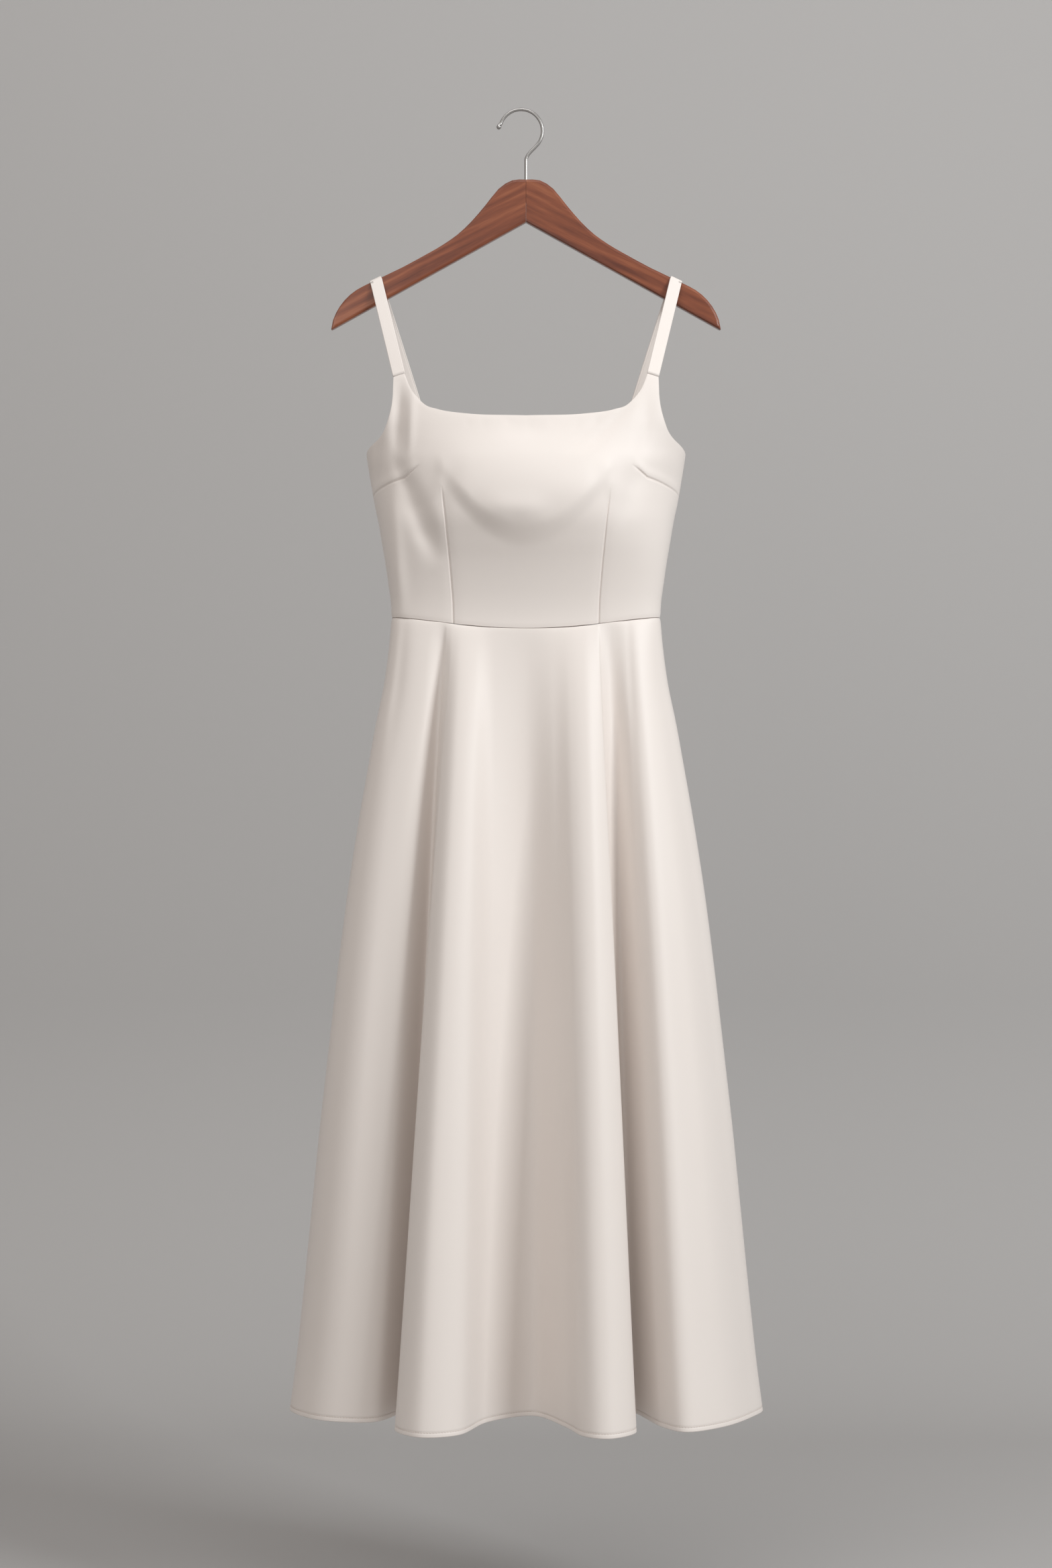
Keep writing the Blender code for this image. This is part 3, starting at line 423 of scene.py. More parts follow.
def clothWall(name, outer, normals, material, dips, wall=None, groove=None):
    # a wall between two grids, with turned edges rounded and dipped towards each seam
    wall = cloth["wall"] if wall is None else wall
    edges = distanceFromEdges(outer)
    radius = cloth["edgeRound"]
    sink = np.zeros(outer.shape[:2])
    thin = np.zeros(outer.shape[:2])
    for distance, dip in zip(edges, dips):
        near = np.clip(radius - distance, 0.0, radius)
        thin = np.maximum(thin, radius - np.sqrt(radius ** 2 - near ** 2))
        sink += dip * cloth["seamDip"] * np.exp(-(distance / cloth["seamDipWidth"]) ** 2)
    if groove is not None:
        sink = sink + groove
    front = outer - normals * (sink + thin)[..., None]
    back = outer - normals * (sink - thin + wall)[..., None]
    columns, rows = outer.shape[:2]
    count = columns * rows
    quads = [gridFaces(columns, rows), gridFaces(columns, rows, count, flip=True)]
    border = np.concatenate([np.arange(columns) * rows, (columns - 1) * rows + np.arange(1, rows),
                             np.arange(columns - 2, -1, -1) * rows + rows - 1,
                             np.arange(rows - 2, 0, -1)])
    ahead = np.roll(border, -1)
    quads.append(np.stack([ahead, border, count + border, count + ahead], axis=1))
    faces = np.concatenate(quads).tolist()
    uv = np.stack([edges[0], edges[2]], axis=-1)
    return meshObject(name, np.concatenate([front, back]), faces, material, np.concatenate([uv, uv]))


def tube(name, route, radii, sides, material):
    # rings carried along a route: each ring stands square to the route
    route = np.asarray(route, dtype=float)
    radii = np.broadcast_to(np.asarray(radii, dtype=float), (len(route),))
    tangent = np.gradient(route, axis=0)
    tangent /= np.linalg.norm(tangent, axis=1, keepdims=True)
    side = np.cross(tangent, np.array([0.0, 1.0, 0.0]))
    side /= np.linalg.norm(side, axis=1, keepdims=True)
    other = np.cross(tangent, side)
    angle = np.linspace(0.0, 2.0 * pi, sides, endpoint=False)
    ring = np.cos(angle)[:, None, None] * side[None] + np.sin(angle)[:, None, None] * other[None]
    points = (route[None] + ring * radii[None, :, None]).transpose(1, 0, 2)
    count, total = len(route), len(route) * sides
    a = (np.arange(count - 1)[:, None] * sides + np.arange(sides)[None])
    b = (np.arange(count - 1)[:, None] * sides + (np.arange(sides)[None] + 1) % sides)
    quads = np.stack([a, b, b + sides, a + sides], axis=-1).reshape(-1, 4).tolist()
    quads.append(list(range(sides - 1, -1, -1)))
    quads.append(list(range(total - sides, total)))
    made = meshObject(name, points, quads, material)
    outward(made)
    return made


def outward(made):
    work = bmesh.new()
    work.from_mesh(made.data)
    bmesh.ops.recalc_face_normals(work, faces=work.faces)
    work.to_mesh(made.data)
    work.free()


# ---- materials


def newMaterial(name):
    material = bpy.data.materials.new(name)
    material.use_nodes = True
    return material, material.node_tree.nodes, material.node_tree.links


def socketGroup(name, inputs, outputs):
    group = bpy.data.node_groups.new(name, "ShaderNodeTree")
    for label, kind, value in inputs:
        socket = group.interface.new_socket(name=label, in_out="INPUT", socket_type=kind)
        if value is not None:
            socket.default_value = value
    for label, kind in outputs:
        group.interface.new_socket(name=label, in_out="OUTPUT", socket_type=kind)
    return group, group.nodes.new("NodeGroupInput"), group.nodes.new("NodeGroupOutput")


def mathNode(nodes, links, operation, first, second):
    node = nodes.new("ShaderNodeMath")
    node.operation = operation
    for socket, value in zip(node.inputs, (first, second)):
        if isinstance(value, (int, float)):
            socket.default_value = value
        else:
            links.new(value, socket)
    return node.outputs[0]


def weaveGroup():
    # satin weave: long warp floats stepped over a fine weft, with slubs and a soft hand-feel grain
    group, source, sink = socketGroup(
        "satinWeave",
        [("Place", "NodeSocketVector", None), ("Threads per metre", "NodeSocketFloat", 1700.0),
         ("Grain scale", "NodeSocketFloat", 420.0)],
        [("Height", "NodeSocketFloat"), ("Mask", "NodeSocketFloat")])
    nodes, links = group.nodes, group.links
    warp = nodes.new("ShaderNodeTexWave")
    warp.bands_direction = "X"
    warp.inputs["Distortion"].default_value = 0.6
    links.new(source.outputs["Place"], warp.inputs["Vector"])
    links.new(source.outputs["Threads per metre"], warp.inputs["Scale"])
    weft = nodes.new("ShaderNodeTexWave")
    weft.bands_direction = "DIAGONAL"
    weft.inputs["Distortion"].default_value = 0.4
    links.new(source.outputs["Place"], weft.inputs["Vector"])
    links.new(mathNode(nodes, links, "MULTIPLY", source.outputs["Threads per metre"], 0.45),
              weft.inputs["Scale"])
    grain = nodes.new("ShaderNodeTexNoise")
    grain.inputs["Detail"].default_value = 3.0
    links.new(source.outputs["Place"], grain.inputs["Vector"])
    links.new(source.outputs["Grain scale"], grain.inputs["Scale"])
    warpHeight = mathNode(nodes, links, "MULTIPLY", warp.outputs["Fac"], 0.25)
    weftHeight = mathNode(nodes, links, "MULTIPLY", weft.outputs["Fac"], 0.15)
    threads = mathNode(nodes, links, "ADD", warpHeight, weftHeight)
    links.new(mathNode(nodes, links, "ADD", threads, grain.outputs["Fac"]), sink.inputs["Height"])
    links.new(grain.outputs["Fac"], sink.inputs["Mask"])
    return group


satinLook = {
    "colour": (0.79, 0.730, 0.690, 1.0),
    "warmer": (0.786, 0.724, 0.683, 1.0),
    "cloudScale": 9.0,
    "cloudRange": (0.35, 0.75),
    "roughness": 0.46,
    "roughSpread": (-0.05, 0.07),
    "specular": 0.42,
    "sheen": 0.18,
    "sheenRoughness": 0.35,
    "bump": 0.10,
    "bumpDistance": 0.0004,
}


def satinMaterial(name, weave, look):
    material, nodes, links = newMaterial(name)
    shader = nodes["Principled BSDF"]
    place = nodes.new("ShaderNodeUVMap")
    place.uv_map = "UVMap"
    threads = nodes.new("ShaderNodeGroup")
    threads.node_tree = weave
    links.new(place.outputs["UV"], threads.inputs["Place"])
    cloud = nodes.new("ShaderNodeTexNoise")
    cloud.inputs["Scale"].default_value = look["cloudScale"]
    cloud.inputs["Detail"].default_value = 2.0
    coordinates = nodes.new("ShaderNodeTexCoord")
    links.new(coordinates.outputs["Object"], cloud.inputs["Vector"])
    blend = nodes.new("ShaderNodeMix")
    blend.data_type = "RGBA"
    blend.inputs["A"].default_value = look["colour"]
    blend.inputs["B"].default_value = look["warmer"]
    soft = nodes.new("ShaderNodeMapRange")
    soft.inputs["From Min"].default_value = look["cloudRange"][0]
    soft.inputs["From Max"].default_value = look["cloudRange"][1]
    links.new(cloud.outputs["Fac"], soft.inputs["Value"])
    links.new(soft.outputs["Result"], blend.inputs["Factor"])
    links.new(blend.outputs["Result"], shader.inputs["Base Color"])
    rough = nodes.new("ShaderNodeMapRange")
    rough.inputs["To Min"].default_value = look["roughness"] + look["roughSpread"][0]
    rough.inputs["To Max"].default_value = look["roughness"] + look["roughSpread"][1]
    links.new(threads.outputs["Mask"], rough.inputs["Value"])
    links.new(rough.outputs["Result"], shader.inputs["Roughness"])
    bump = nodes.new("ShaderNodeBump")
    bump.inputs["Strength"].default_value = look["bump"]
    bump.inputs["Distance"].default_value = look["bumpDistance"]
    links.new(threads.outputs["Height"], bump.inputs["Height"])
    links.new(bump.outputs["Normal"], shader.inputs["Normal"])
    shader.inputs["Sheen Weight"].default_value = look["sheen"]
    shader.inputs["Sheen Roughness"].default_value = look["sheenRoughness"]
    shader.inputs["Specular IOR Level"].default_value = look["specular"]
    material.diffuse_color = look["colour"]
    return material


woodLook = {
    "dark": (0.100, 0.022, 0.010, 1.0),
    "middle": (0.210, 0.056, 0.023, 1.0),
    "light": (0.370, 0.128, 0.056, 1.0),
    "positions": (0.38, 0.56, 0.78),
    "stretch": 0.07,
    "figureScale": 22.0,
    "ringScale": 26.0,
    "ringDistortion": 9.0,
    "streakScale": 260.0,
    "poreScale": 900.0,
    "shares": (0.55, 0.10, 0.30, 0.12),    # of figure, rings, streaks and pores in the tone
    "bump": 0.10,
    "bumpDistance": 0.0002,
    "coat": 0.75,
    "coatRoughness": 0.14,
    "roughness": 0.36,
}


def woodGroup():
    # long soft figure, faint growth lines and short dark pores, all drawn out along the grain
    group, source, sink = socketGroup(
        "varnishedGrain", [("Place", "NodeSocketVector", None)],
        [("Tone", "NodeSocketFloat"), ("Pores", "NodeSocketFloat")])
    nodes, links = group.nodes, group.links
    figure = nodes.new("ShaderNodeTexNoise")
    figure.inputs["Scale"].default_value = woodLook["figureScale"]
    figure.inputs["Detail"].default_value = 5.0
    figure.inputs["Roughness"].default_value = 0.55
    lines = nodes.new("ShaderNodeTexWave")
    lines.bands_direction = "Z"
    lines.inputs["Scale"].default_value = woodLook["ringScale"]
    lines.inputs["Distortion"].default_value = woodLook["ringDistortion"]
    lines.inputs["Detail"].default_value = 4.0
    lines.inputs["Detail Scale"].default_value = 1.2
    streaks = nodes.new("ShaderNodeTexNoise")
    streaks.inputs["Scale"].default_value = woodLook["streakScale"]
    streaks.inputs["Detail"].default_value = 4.0
    pores = nodes.new("ShaderNodeTexNoise")
    pores.inputs["Scale"].default_value = woodLook["poreScale"]
    pores.inputs["Detail"].default_value = 1.0
    for texture in (figure, lines, streaks, pores):
        links.new(source.outputs["Place"], texture.inputs["Vector"])
    parts = [mathNode(nodes, links, "MULTIPLY", texture.outputs["Fac"], share)
             for texture, share in zip((figure, lines, streaks, pores), woodLook["shares"])]
    tone = mathNode(nodes, links, "ADD", parts[0], parts[1])
    fine = mathNode(nodes, links, "ADD", parts[2], parts[3])
    links.new(mathNode(nodes, links, "ADD", tone, fine), sink.inputs["Tone"])
    links.new(pores.outputs["Fac"], sink.inputs["Pores"])
    return group


def woodMaterial(name, grain, lean, shift):
    # the arm's own direction leads the grain, so the two arms meet in a chevron at the mitre
    material, nodes, links = newMaterial(name)
    shader = nodes["Principled BSDF"]
    coordinates = nodes.new("ShaderNodeTexCoord")
    turned = nodes.new("ShaderNodeMapping")
    turned.vector_type = "TEXTURE"
    turned.inputs["Location"].default_value = shift
    turned.inputs["Rotation"].default_value = (0.0, lean, 0.0)
    turned.inputs["Scale"].default_value = (1.0 / woodLook["stretch"], 1.0, 1.0)
    links.new(coordinates.outputs["Object"], turned.inputs["Vector"])
    figure = nodes.new("ShaderNodeGroup")
    figure.node_tree = grain
    links.new(turned.outputs["Vector"], figure.inputs["Place"])
    ramp = nodes.new("ShaderNodeValToRGB")
    ramp.color_ramp.elements[0].position = woodLook["positions"][0]
    ramp.color_ramp.elements[0].color = woodLook["dark"]
    ramp.color_ramp.elements[1].position = woodLook["positions"][2]
    ramp.color_ramp.elements[1].color = woodLook["light"]
    ramp.color_ramp.elements.new(woodLook["positions"][1]).color = woodLook["middle"]
    links.new(figure.outputs["Tone"], ramp.inputs["Fac"])
    links.new(ramp.outputs["Color"], shader.inputs["Base Color"])
    bump = nodes.new("ShaderNodeBump")
    bump.inputs["Strength"].default_value = woodLook["bump"]
    bump.inputs["Distance"].default_value = woodLook["bumpDistance"]
    links.new(figure.outputs["Pores"], bump.inputs["Height"])
    links.new(bump.outputs["Normal"], shader.inputs["Normal"])
    shader.inputs["Roughness"].default_value = woodLook["roughness"]
    shader.inputs["Coat Weight"].default_value = woodLook["coat"]
    shader.inputs["Coat Roughness"].default_value = woodLook["coatRoughness"]
    material.diffuse_color = woodLook["middle"]
    return material


steelLook = {
    "colour": (0.42, 0.41, 0.40, 1.0),
    "roughness": (0.30, 0.44),
}


def steelMaterial(name):
    # drawn wire: fine streaks in the roughness
    material, nodes, links = newMaterial(name)
    shader = nodes["Principled BSDF"]
    coordinates = nodes.new("ShaderNodeTexCoord")
    streaks = nodes.new("ShaderNodeTexNoise")
    streaks.inputs["Scale"].default_value = 900.0
    streaks.inputs["Detail"].default_value = 3.0
    links.new(coordinates.outputs["Object"], streaks.inputs["Vector"])
    rough = nodes.new("ShaderNodeMapRange")
    rough.inputs["To Min"].default_value = steelLook["roughness"][0]
    rough.inputs["To Max"].default_value = steelLook["roughness"][1]
    links.new(streaks.outputs["Fac"], rough.inputs["Value"])
    links.new(rough.outputs["Result"], shader.inputs["Roughness"])
    shader.inputs["Base Color"].default_value = steelLook["colour"]
    shader.inputs["Metallic"].default_value = 1.0
    material.diffuse_color = steelLook["colour"]
    return material


def plainMaterial(name, colour, roughness):
    material, nodes, links = newMaterial(name)
    shader = nodes["Principled BSDF"]
    shader.inputs["Base Color"].default_value = colour
    shader.inputs["Roughness"].default_value = roughness
    material.diffuse_color = colour
    return material


weave = weaveGroup()
satin = satinMaterial("ivorySatin", weave, satinLook)
threadLook = dict(satinLook, colour=(0.70, 0.63, 0.585, 1.0), warmer=(0.66, 0.59, 0.545, 1.0),
                  roughness=0.55, sheen=0.05)
threadSatin = satinMaterial("sewingThread", weave, threadLook)
steel = steelMaterial("drawnSteel")

# ---- bodice panels


def edgeCurve(columns, neckline, armhole):
    # turn and level of the upper edge for each turn at the waist; the strap's seat is straight
    turn = np.interp(columns, [neckline[-1, 0], armhole[0, 0]], [neckline[-1, 1], armhole[0, 1]])
    level = np.interp(columns, [neckline[-1, 0], armhole[0, 0]], [neckline[-1, 2], armhole[0, 2]])
    for table in (neckline, armhole):
        inside = (columns >= table[0, 0]) & (columns <= table[-1, 0])
        turn[inside] = smoothValue(columns[inside], table[:, 0], table[:, 1])
        level[inside] = smoothValue(columns[inside], table[:, 0], table[:, 2])
    return turn, level


def keepSide(points, side):
    # panels stop at the side seams' plane, and back panels at the centre back
    half = cloth["seamGap"] / 2.0
    if side == 0:
        points[..., 1] = np.minimum(points[..., 1], -half)
    else:
        points[..., 1] = np.maximum(points[..., 1], half)
        points[..., 0] = side * np.maximum(side * points[..., 0], half)


def keepWall(made, side):
    count = len(made.data.vertices)
    flat = np.empty(count * 3)
    made.data.vertices.foreach_get("co", flat)
    points = flat.reshape(-1, 3) / mm
    keepSide(points, side)
    made.data.vertices.foreach_set("co", (points * mm).ravel())
    made.data.update()


def makeBodiceFront():
    look = bodiceLook
    half = look["columns"] // 2
    bustShare = look["bustShare"]
    spots = [look["dartTurn"], 90.0, frontNeckline[-1, 0], frontArmhole[0, 0]]
    right = denseStations(0.0, 90.0, half, spots, 1.2, 7.0)
    turnHigh, top = edgeCurve(right, frontNeckline, frontArmhole)
    low = np.concatenate([-right[:0:-1], right])[:, None]
    high = np.concatenate([-turnHigh[:0:-1], turnHigh])[:, None]
    top = np.concatenate([top[:0:-1], top])[:, None]
    bottom = waistLevel(low) + cloth["seamGap"] / 2.0
    bust = bustLevel(low * 0.45 + high * bustShare)
    under = denseStations(0.0, 1.0, look["rowsUnder"], [0.0, 1.0], 0.03, 8.0)[None]
    over = denseStations(0.0, 1.0, look["rowsOver"], [0.0, 1.0], 0.04, 8.0)[None, 1:]
    level = np.concatenate([bottom + (bust - bottom) * under, bust + (top - bust) * over], axis=1)
    share = np.concatenate([bustShare * under, bustShare + 0.45 * over], axis=1)
    turn = low + (high - low) * share
    outer = bodicePoint(turn, level)
    normals = bodiceNormals(turn, level)
    keepSide(outer, 0)
    made = clothWall("bodiceFrontCloth", outer, normals, satin, dips=(1.0, 1.0, 1.0, 0.5))
    keepWall(made, 0)
    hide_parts("bodice_front")
    return made


def makeBodiceBack(side, name, node):
    look = bodiceLook
    spots = [0.0, backNeckline[-1, 0], backArmhole[0, 0], 90.0]
    columns = denseStations(0.0, 90.0, look["backColumns"], spots, 1.2, 6.0)
    topTurn, top = edgeCurve(columns, backNeckline, backArmhole)
    share = denseStations(0.0, 1.0, look["backRows"], [0.0, 1.0], 0.04, 8.0)[None]
    turn = 180.0 - (columns[:, None] + (topTurn - columns)[:, None] * share)
    low = waistLevel(180.0 - columns) + cloth["seamGap"] / 2.0
    level = low[:, None] + (top - low)[:, None] * share
    if side > 0:
        turn, level = turn[::-1], level[::-1]
    outer = bodicePoint(side * turn, level)
    normals = bodiceNormals(side * turn, level)
    keepSide(outer, side)
    made = clothWall(name, outer, normals, satin, dips=(1.0, 1.0, 1.0, 0.5))
    keepWall(made, side)
    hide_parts(node)
    return made


# ---- skirt panels


def makeSkirtPanel(name, node, first, last, columns, side):
    look = skirtLook
    stations = denseStations(first, last, columns, [first, last], 0.04, 6.0)
    drop = levels["waist"] - levels["hem"]
    stitch = 1.0 - look["stitchHeight"] / drop
    rows = denseStations(0.0, 1.0, look["rows"], [0.0, stitch, 1.0], 0.0035, 14.0)
    station, down = np.meshgrid(stations, rows, indexing="ij")
    outer = skirtPoint(station, down)
    outer[:, 0, 2] -= cloth["seamGap"] / 2.0
    normals = skirtNormals(station, down)
    keepSide(outer, side)
    height = (1.0 - down) * drop
    offStitch = (height - look["stitchHeight"]) / look["stitchGrooveWidth"]
    groove = look["stitchGroove"] * np.exp(-offStitch ** 2)
    quick, slow = look["pucker"]
    pucker = 0.5 + 0.5 * np.sin(station * quick) * np.sin(station * slow + 1.0)
    groove = groove * (0.75 + 0.5 * pucker)
    inHem = 1.0 - smoothStep(height, look["hemWidth"], look["hemWidth"] + look["hemRamp"])
    wall = cloth["wall"] + (look["hemWall"] - cloth["wall"]) * inHem
    made = clothWall(name, outer, normals, satin, wall=wall, dips=(1.0, 1.0, 1.0, 0.0), groove=groove)
    keepWall(made, side)
    outward(made)
    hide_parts(node)
    return made


# ---- straps

hanger = {
    "thickness": 12.0,
    "edgeRound": 3.0,
    "armStart": (140.0, -177.5),
    "armSlope": radians(25.7),
}
strapLook = {
    "width": 14.0,
    "thick": 1.6,
    "topX": 170.5,
    "rings": 34,
    "edgeStitch": 1.7,      # distance of the turned edge's fine line from the edge
    "edgeStitchDepth": 0.22,
    "edgeStitchWidth": 0.45,
    "steps": 41,
    "turnRings": 12,
    "crown": 0.25,
}


def armTop(x):
    return hanger["armStart"][1] - (x - hanger["armStart"][0]) * tan(hanger["armSlope"])


def unit(vector):
    return vector / np.linalg.norm(vector)


def strapBase(side, front):
    # both ends of the seam where the strap leaves a panel, and the middle of the panel's wall there
    neckline, armhole = (frontNeckline, frontArmhole) if front else (backNeckline, backArmhole)
    turns = np.array([neckline[-1, 1], armhole[0, 1]])
    turns = side * (turns if front else 180.0 - turns)
    edgeLevels = np.array([neckline[-1, 2], armhole[0, 2]])
    ends = bodicePoint(turns, edgeLevels, detailed=False)
    normal = unit(bodiceNormals(turns, edgeLevels).mean(axis=0))
    return ends.mean(axis=0) - cloth["wall"] / 2.0 * normal, unit(ends[0] - ends[1])


def strapSection():
    # closed loop across the band: rounded edges, a slight crown and a fine line inside each edge
    look = strapLook
    halfWidth, halfThick = look["width"] / 2.0, look["thick"] / 2.0
    across = halfWidth * np.sin(np.linspace(-0.5 * pi, 0.5 * pi, look["steps"]))
    near = np.clip((halfWidth - np.abs(across)) / halfThick, 0.0, 1.0)
    height = halfThick * np.sqrt(1.0 - (1.0 - near) ** 2)
    offLine = halfWidth - np.abs(across) - look["edgeStitch"]
    line = np.exp(-(offLine / look["edgeStitchWidth"]) ** 2)
    face = height + look["crown"] * (1.0 - (across / halfWidth) ** 2) - look["edgeStitchDepth"] * line
    rear = -height + 0.3 * look["edgeStitchDepth"] * line
    return np.concatenate([np.stack([across, face], axis=1), np.stack([across, rear], axis=1)[-2:0:-1]])


def makeStrap(side, name, node):
    look = strapLook
    frontBase, frontAcross = strapBase(side, True)
    backBase, backAcross = strapBase(side, False)
    seat = np.array([side * look["topX"], 0.0, armTop(look["topX"])])
    up = np.array([side * sin(hanger["armSlope"]), 0.0, cos(hanger["armSlope"])])
    reach = hanger["thickness"] / 2.0 + look["thick"]
    radius = hanger["edgeRound"] + cloth["seamGap"] + look["thick"] / 2.0
    over = []
    for facing, base in ((-1.0, frontBase), (1.0, backBase)):
        lean = atan2(facing * base[1] - reach, seat[2] - base[2])
        angles = np.linspace(0.5 * pi - lean, 0.0, look["turnRings"])
        for angle in angles if facing < 0.0 else angles[::-1]:
            out = np.array([0.0, facing * sin(angle), 0.0]) + cos(angle) * up
            corner = facing * (hanger["thickness"] / 2.0 - hanger["edgeRound"])
            over.append(seat + np.array([0.0, corner, 0.0]) - hanger["edgeRound"] * up + radius * out)
    over = np.array(over)
    steps = np.linspace(0.0, 1.0, look["rings"], endpoint=False)[:, None]
    frontRun = frontBase + (over[0] - frontBase) * steps
    backRun = backBase + (over[-1] - backBase) * steps
    frontRun[0] += cloth["seamGap"] * unit(over[0] - frontBase)
    backRun[0] += cloth["seamGap"] * unit(over[-1] - backBase)
    route = np.concatenate([frontRun, over, backRun[::-1]])
    tangent = np.gradient(route, axis=0)
    tangent /= np.linalg.norm(tangent, axis=1, keepdims=True)
    armDirection = np.array([-side * cos(hanger["armSlope"]), 0.0, sin(hanger["armSlope"])])
    share = smoothStep(np.linspace(0.0, 1.0, look["rings"]), 0.0, 0.9)
    toFront = np.concatenate([1.0 - share, np.zeros(len(route) - look["rings"])])[:, None]
    toBack = toFront[::-1]
    across = armDirection * (1.0 - toFront - toBack) + frontAcross * toFront + backAcross * toBack
    across -= tangent * np.sum(across * tangent, axis=1, keepdims=True)
    across /= np.linalg.norm(across, axis=1, keepdims=True)
    out = np.cross(across, tangent) * side
    section = strapSection()
    wide, high = section[None, :, :1], section[None, :, 1:]
    points = route[:, None] + wide * across[:, None] + high * out[:, None]
    count = len(section)
    a = np.arange(len(route) - 1)[:, None] * count + np.arange(count)[None]
    b = np.arange(len(route) - 1)[:, None] * count + (np.arange(count)[None] + 1) % count
    quads = np.stack([a, b, b + count, a + count], axis=-1).reshape(-1, 4).tolist()
    quads.append(list(range(count - 1, -1, -1)))
    quads.append(list(range((len(route) - 1) * count, len(route) * count)))
    along = np.concatenate([[0.0], np.cumsum(np.linalg.norm(np.diff(route, axis=0), axis=1))])
    uv = np.stack(np.broadcast_arrays(section[None, :, 0], along[:, None]), axis=-1)
    made = meshObject(name, points, quads, satin, uv)
    outward(made)
    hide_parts(node)
    return made


# ---- hook

hookLook = {
    "wire": 1.9,
    "radius": 24.3,
    "centre": (-5.6, -22.2),
    "ball": 2.7,
    "ballAngle": 170.0,
    "ballOffset": 1.05,
    "ballSpan": (-0.99, 0.55),     # parts of the ball's radius where it starts and meets the wire
    "ballRings": 16,
    "bowRings": 80,
    "bendRings": 22,
    "sides": 28,
    "angles": (159.0, -38.0),
    "leave": radians(-128.0),
    "pulls": (9.0, 7.0),
    "neck": -56.0,
    "stemLevels": (-68.0, -86.0, -104.0),
}


def makeHook():
    # ball end, bow, bend into the neck and the stem inside the wood
    look = hookLook
    centre = np.array(look["centre"])
    across = np.linspace(*look["ballSpan"], look["ballRings"])
    ballAngles = radians(look["ballAngle"]) - look["ball"] / look["radius"] * across
    ballRadii = look["ball"] * np.sqrt(1.0 - across ** 2)
    bowAngles = np.radians(np.linspace(*look["angles"], look["bowRings"]))
    ring = np.stack([np.cos(ballAngles), np.sin(ballAngles)], axis=1)
    ball = centre + look["ballOffset"] * look["radius"] * ring
    bow = centre + look["radius"] * np.stack([np.cos(bowAngles), np.sin(bowAngles)], axis=1)
    part = np.linspace(0.0, 1.0, look["bendRings"])[1:, None]
    leave = np.array([cos(look["leave"]), sin(look["leave"])])
    neck = np.array([0.0, look["neck"]])
    firstPull = bow[-1] + look["pulls"][0] * leave
    lastPull = neck + np.array([0.0, look["pulls"][1]])
    bend = ((1 - part) ** 3 * bow[-1] + 3 * (1 - part) ** 2 * part * firstPull
            + 3 * (1 - part) * part ** 2 * lastPull + part ** 3 * neck)
    stem = np.array([[0.0, level] for level in look["stemLevels"]])
    flat = np.concatenate([ball, bow, bend, stem])
    route = np.stack([flat[:, 0], np.zeros(len(flat)), flat[:, 1]], axis=1)
    radii = np.concatenate([ballRadii, np.full(len(flat) - len(ball), look["wire"])])
    made = tube("hookWire", route, radii, look["sides"], steel)
    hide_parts("hanger_hook")
    return made


# ---- mitre


mitreLook = {
    "half": 0.09,
    "depth": 5.6,
    "top": -79.0,
    "bottom": -125.8,
    "bevel": 0.06,
    "colour": (0.05, 0.016, 0.009, 1.0),
}


def makeMitre():
    # dark hairline of glue that fills the joint between the arms
    look = mitreLook
    size = Vector((2 * look["half"], 2 * look["depth"], look["top"] - look["bottom"]))
    middle = Vector((0.0, 0.0, (look["top"] + look["bottom"]) / 2.0))
    work = bmesh.new()
    bmesh.ops.create_cube(work, size=1.0)
    bmesh.ops.scale(work, vec=size * mm, verts=work.verts)
    bmesh.ops.translate(work, vec=middle * mm, verts=work.verts)
    bmesh.ops.bevel(work, geom=work.edges, offset=look["bevel"] * mm, segments=2, affect="EDGES")
    mesh = bpy.data.meshes.new("mitreGlue")
    work.to_mesh(mesh)
    work.free()
    mesh.materials.append(plainMaterial("glueLine", look["colour"], 0.5))
    made = bpy.data.objects.new("mitreGlue", mesh)
    bpy.context.scene.collection.objects.link(made)
    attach(made, "root")


# ---- hem stitches

stitchLook = {
    "length": 2.6,
    "pitch": 3.3,
    "radius": 0.32,
    "lift": 0.05,
    "margin": 2.0,
    "sides": 6,
    "ringSizes": (0.35, 1.0, 1.0, 0.35),
}


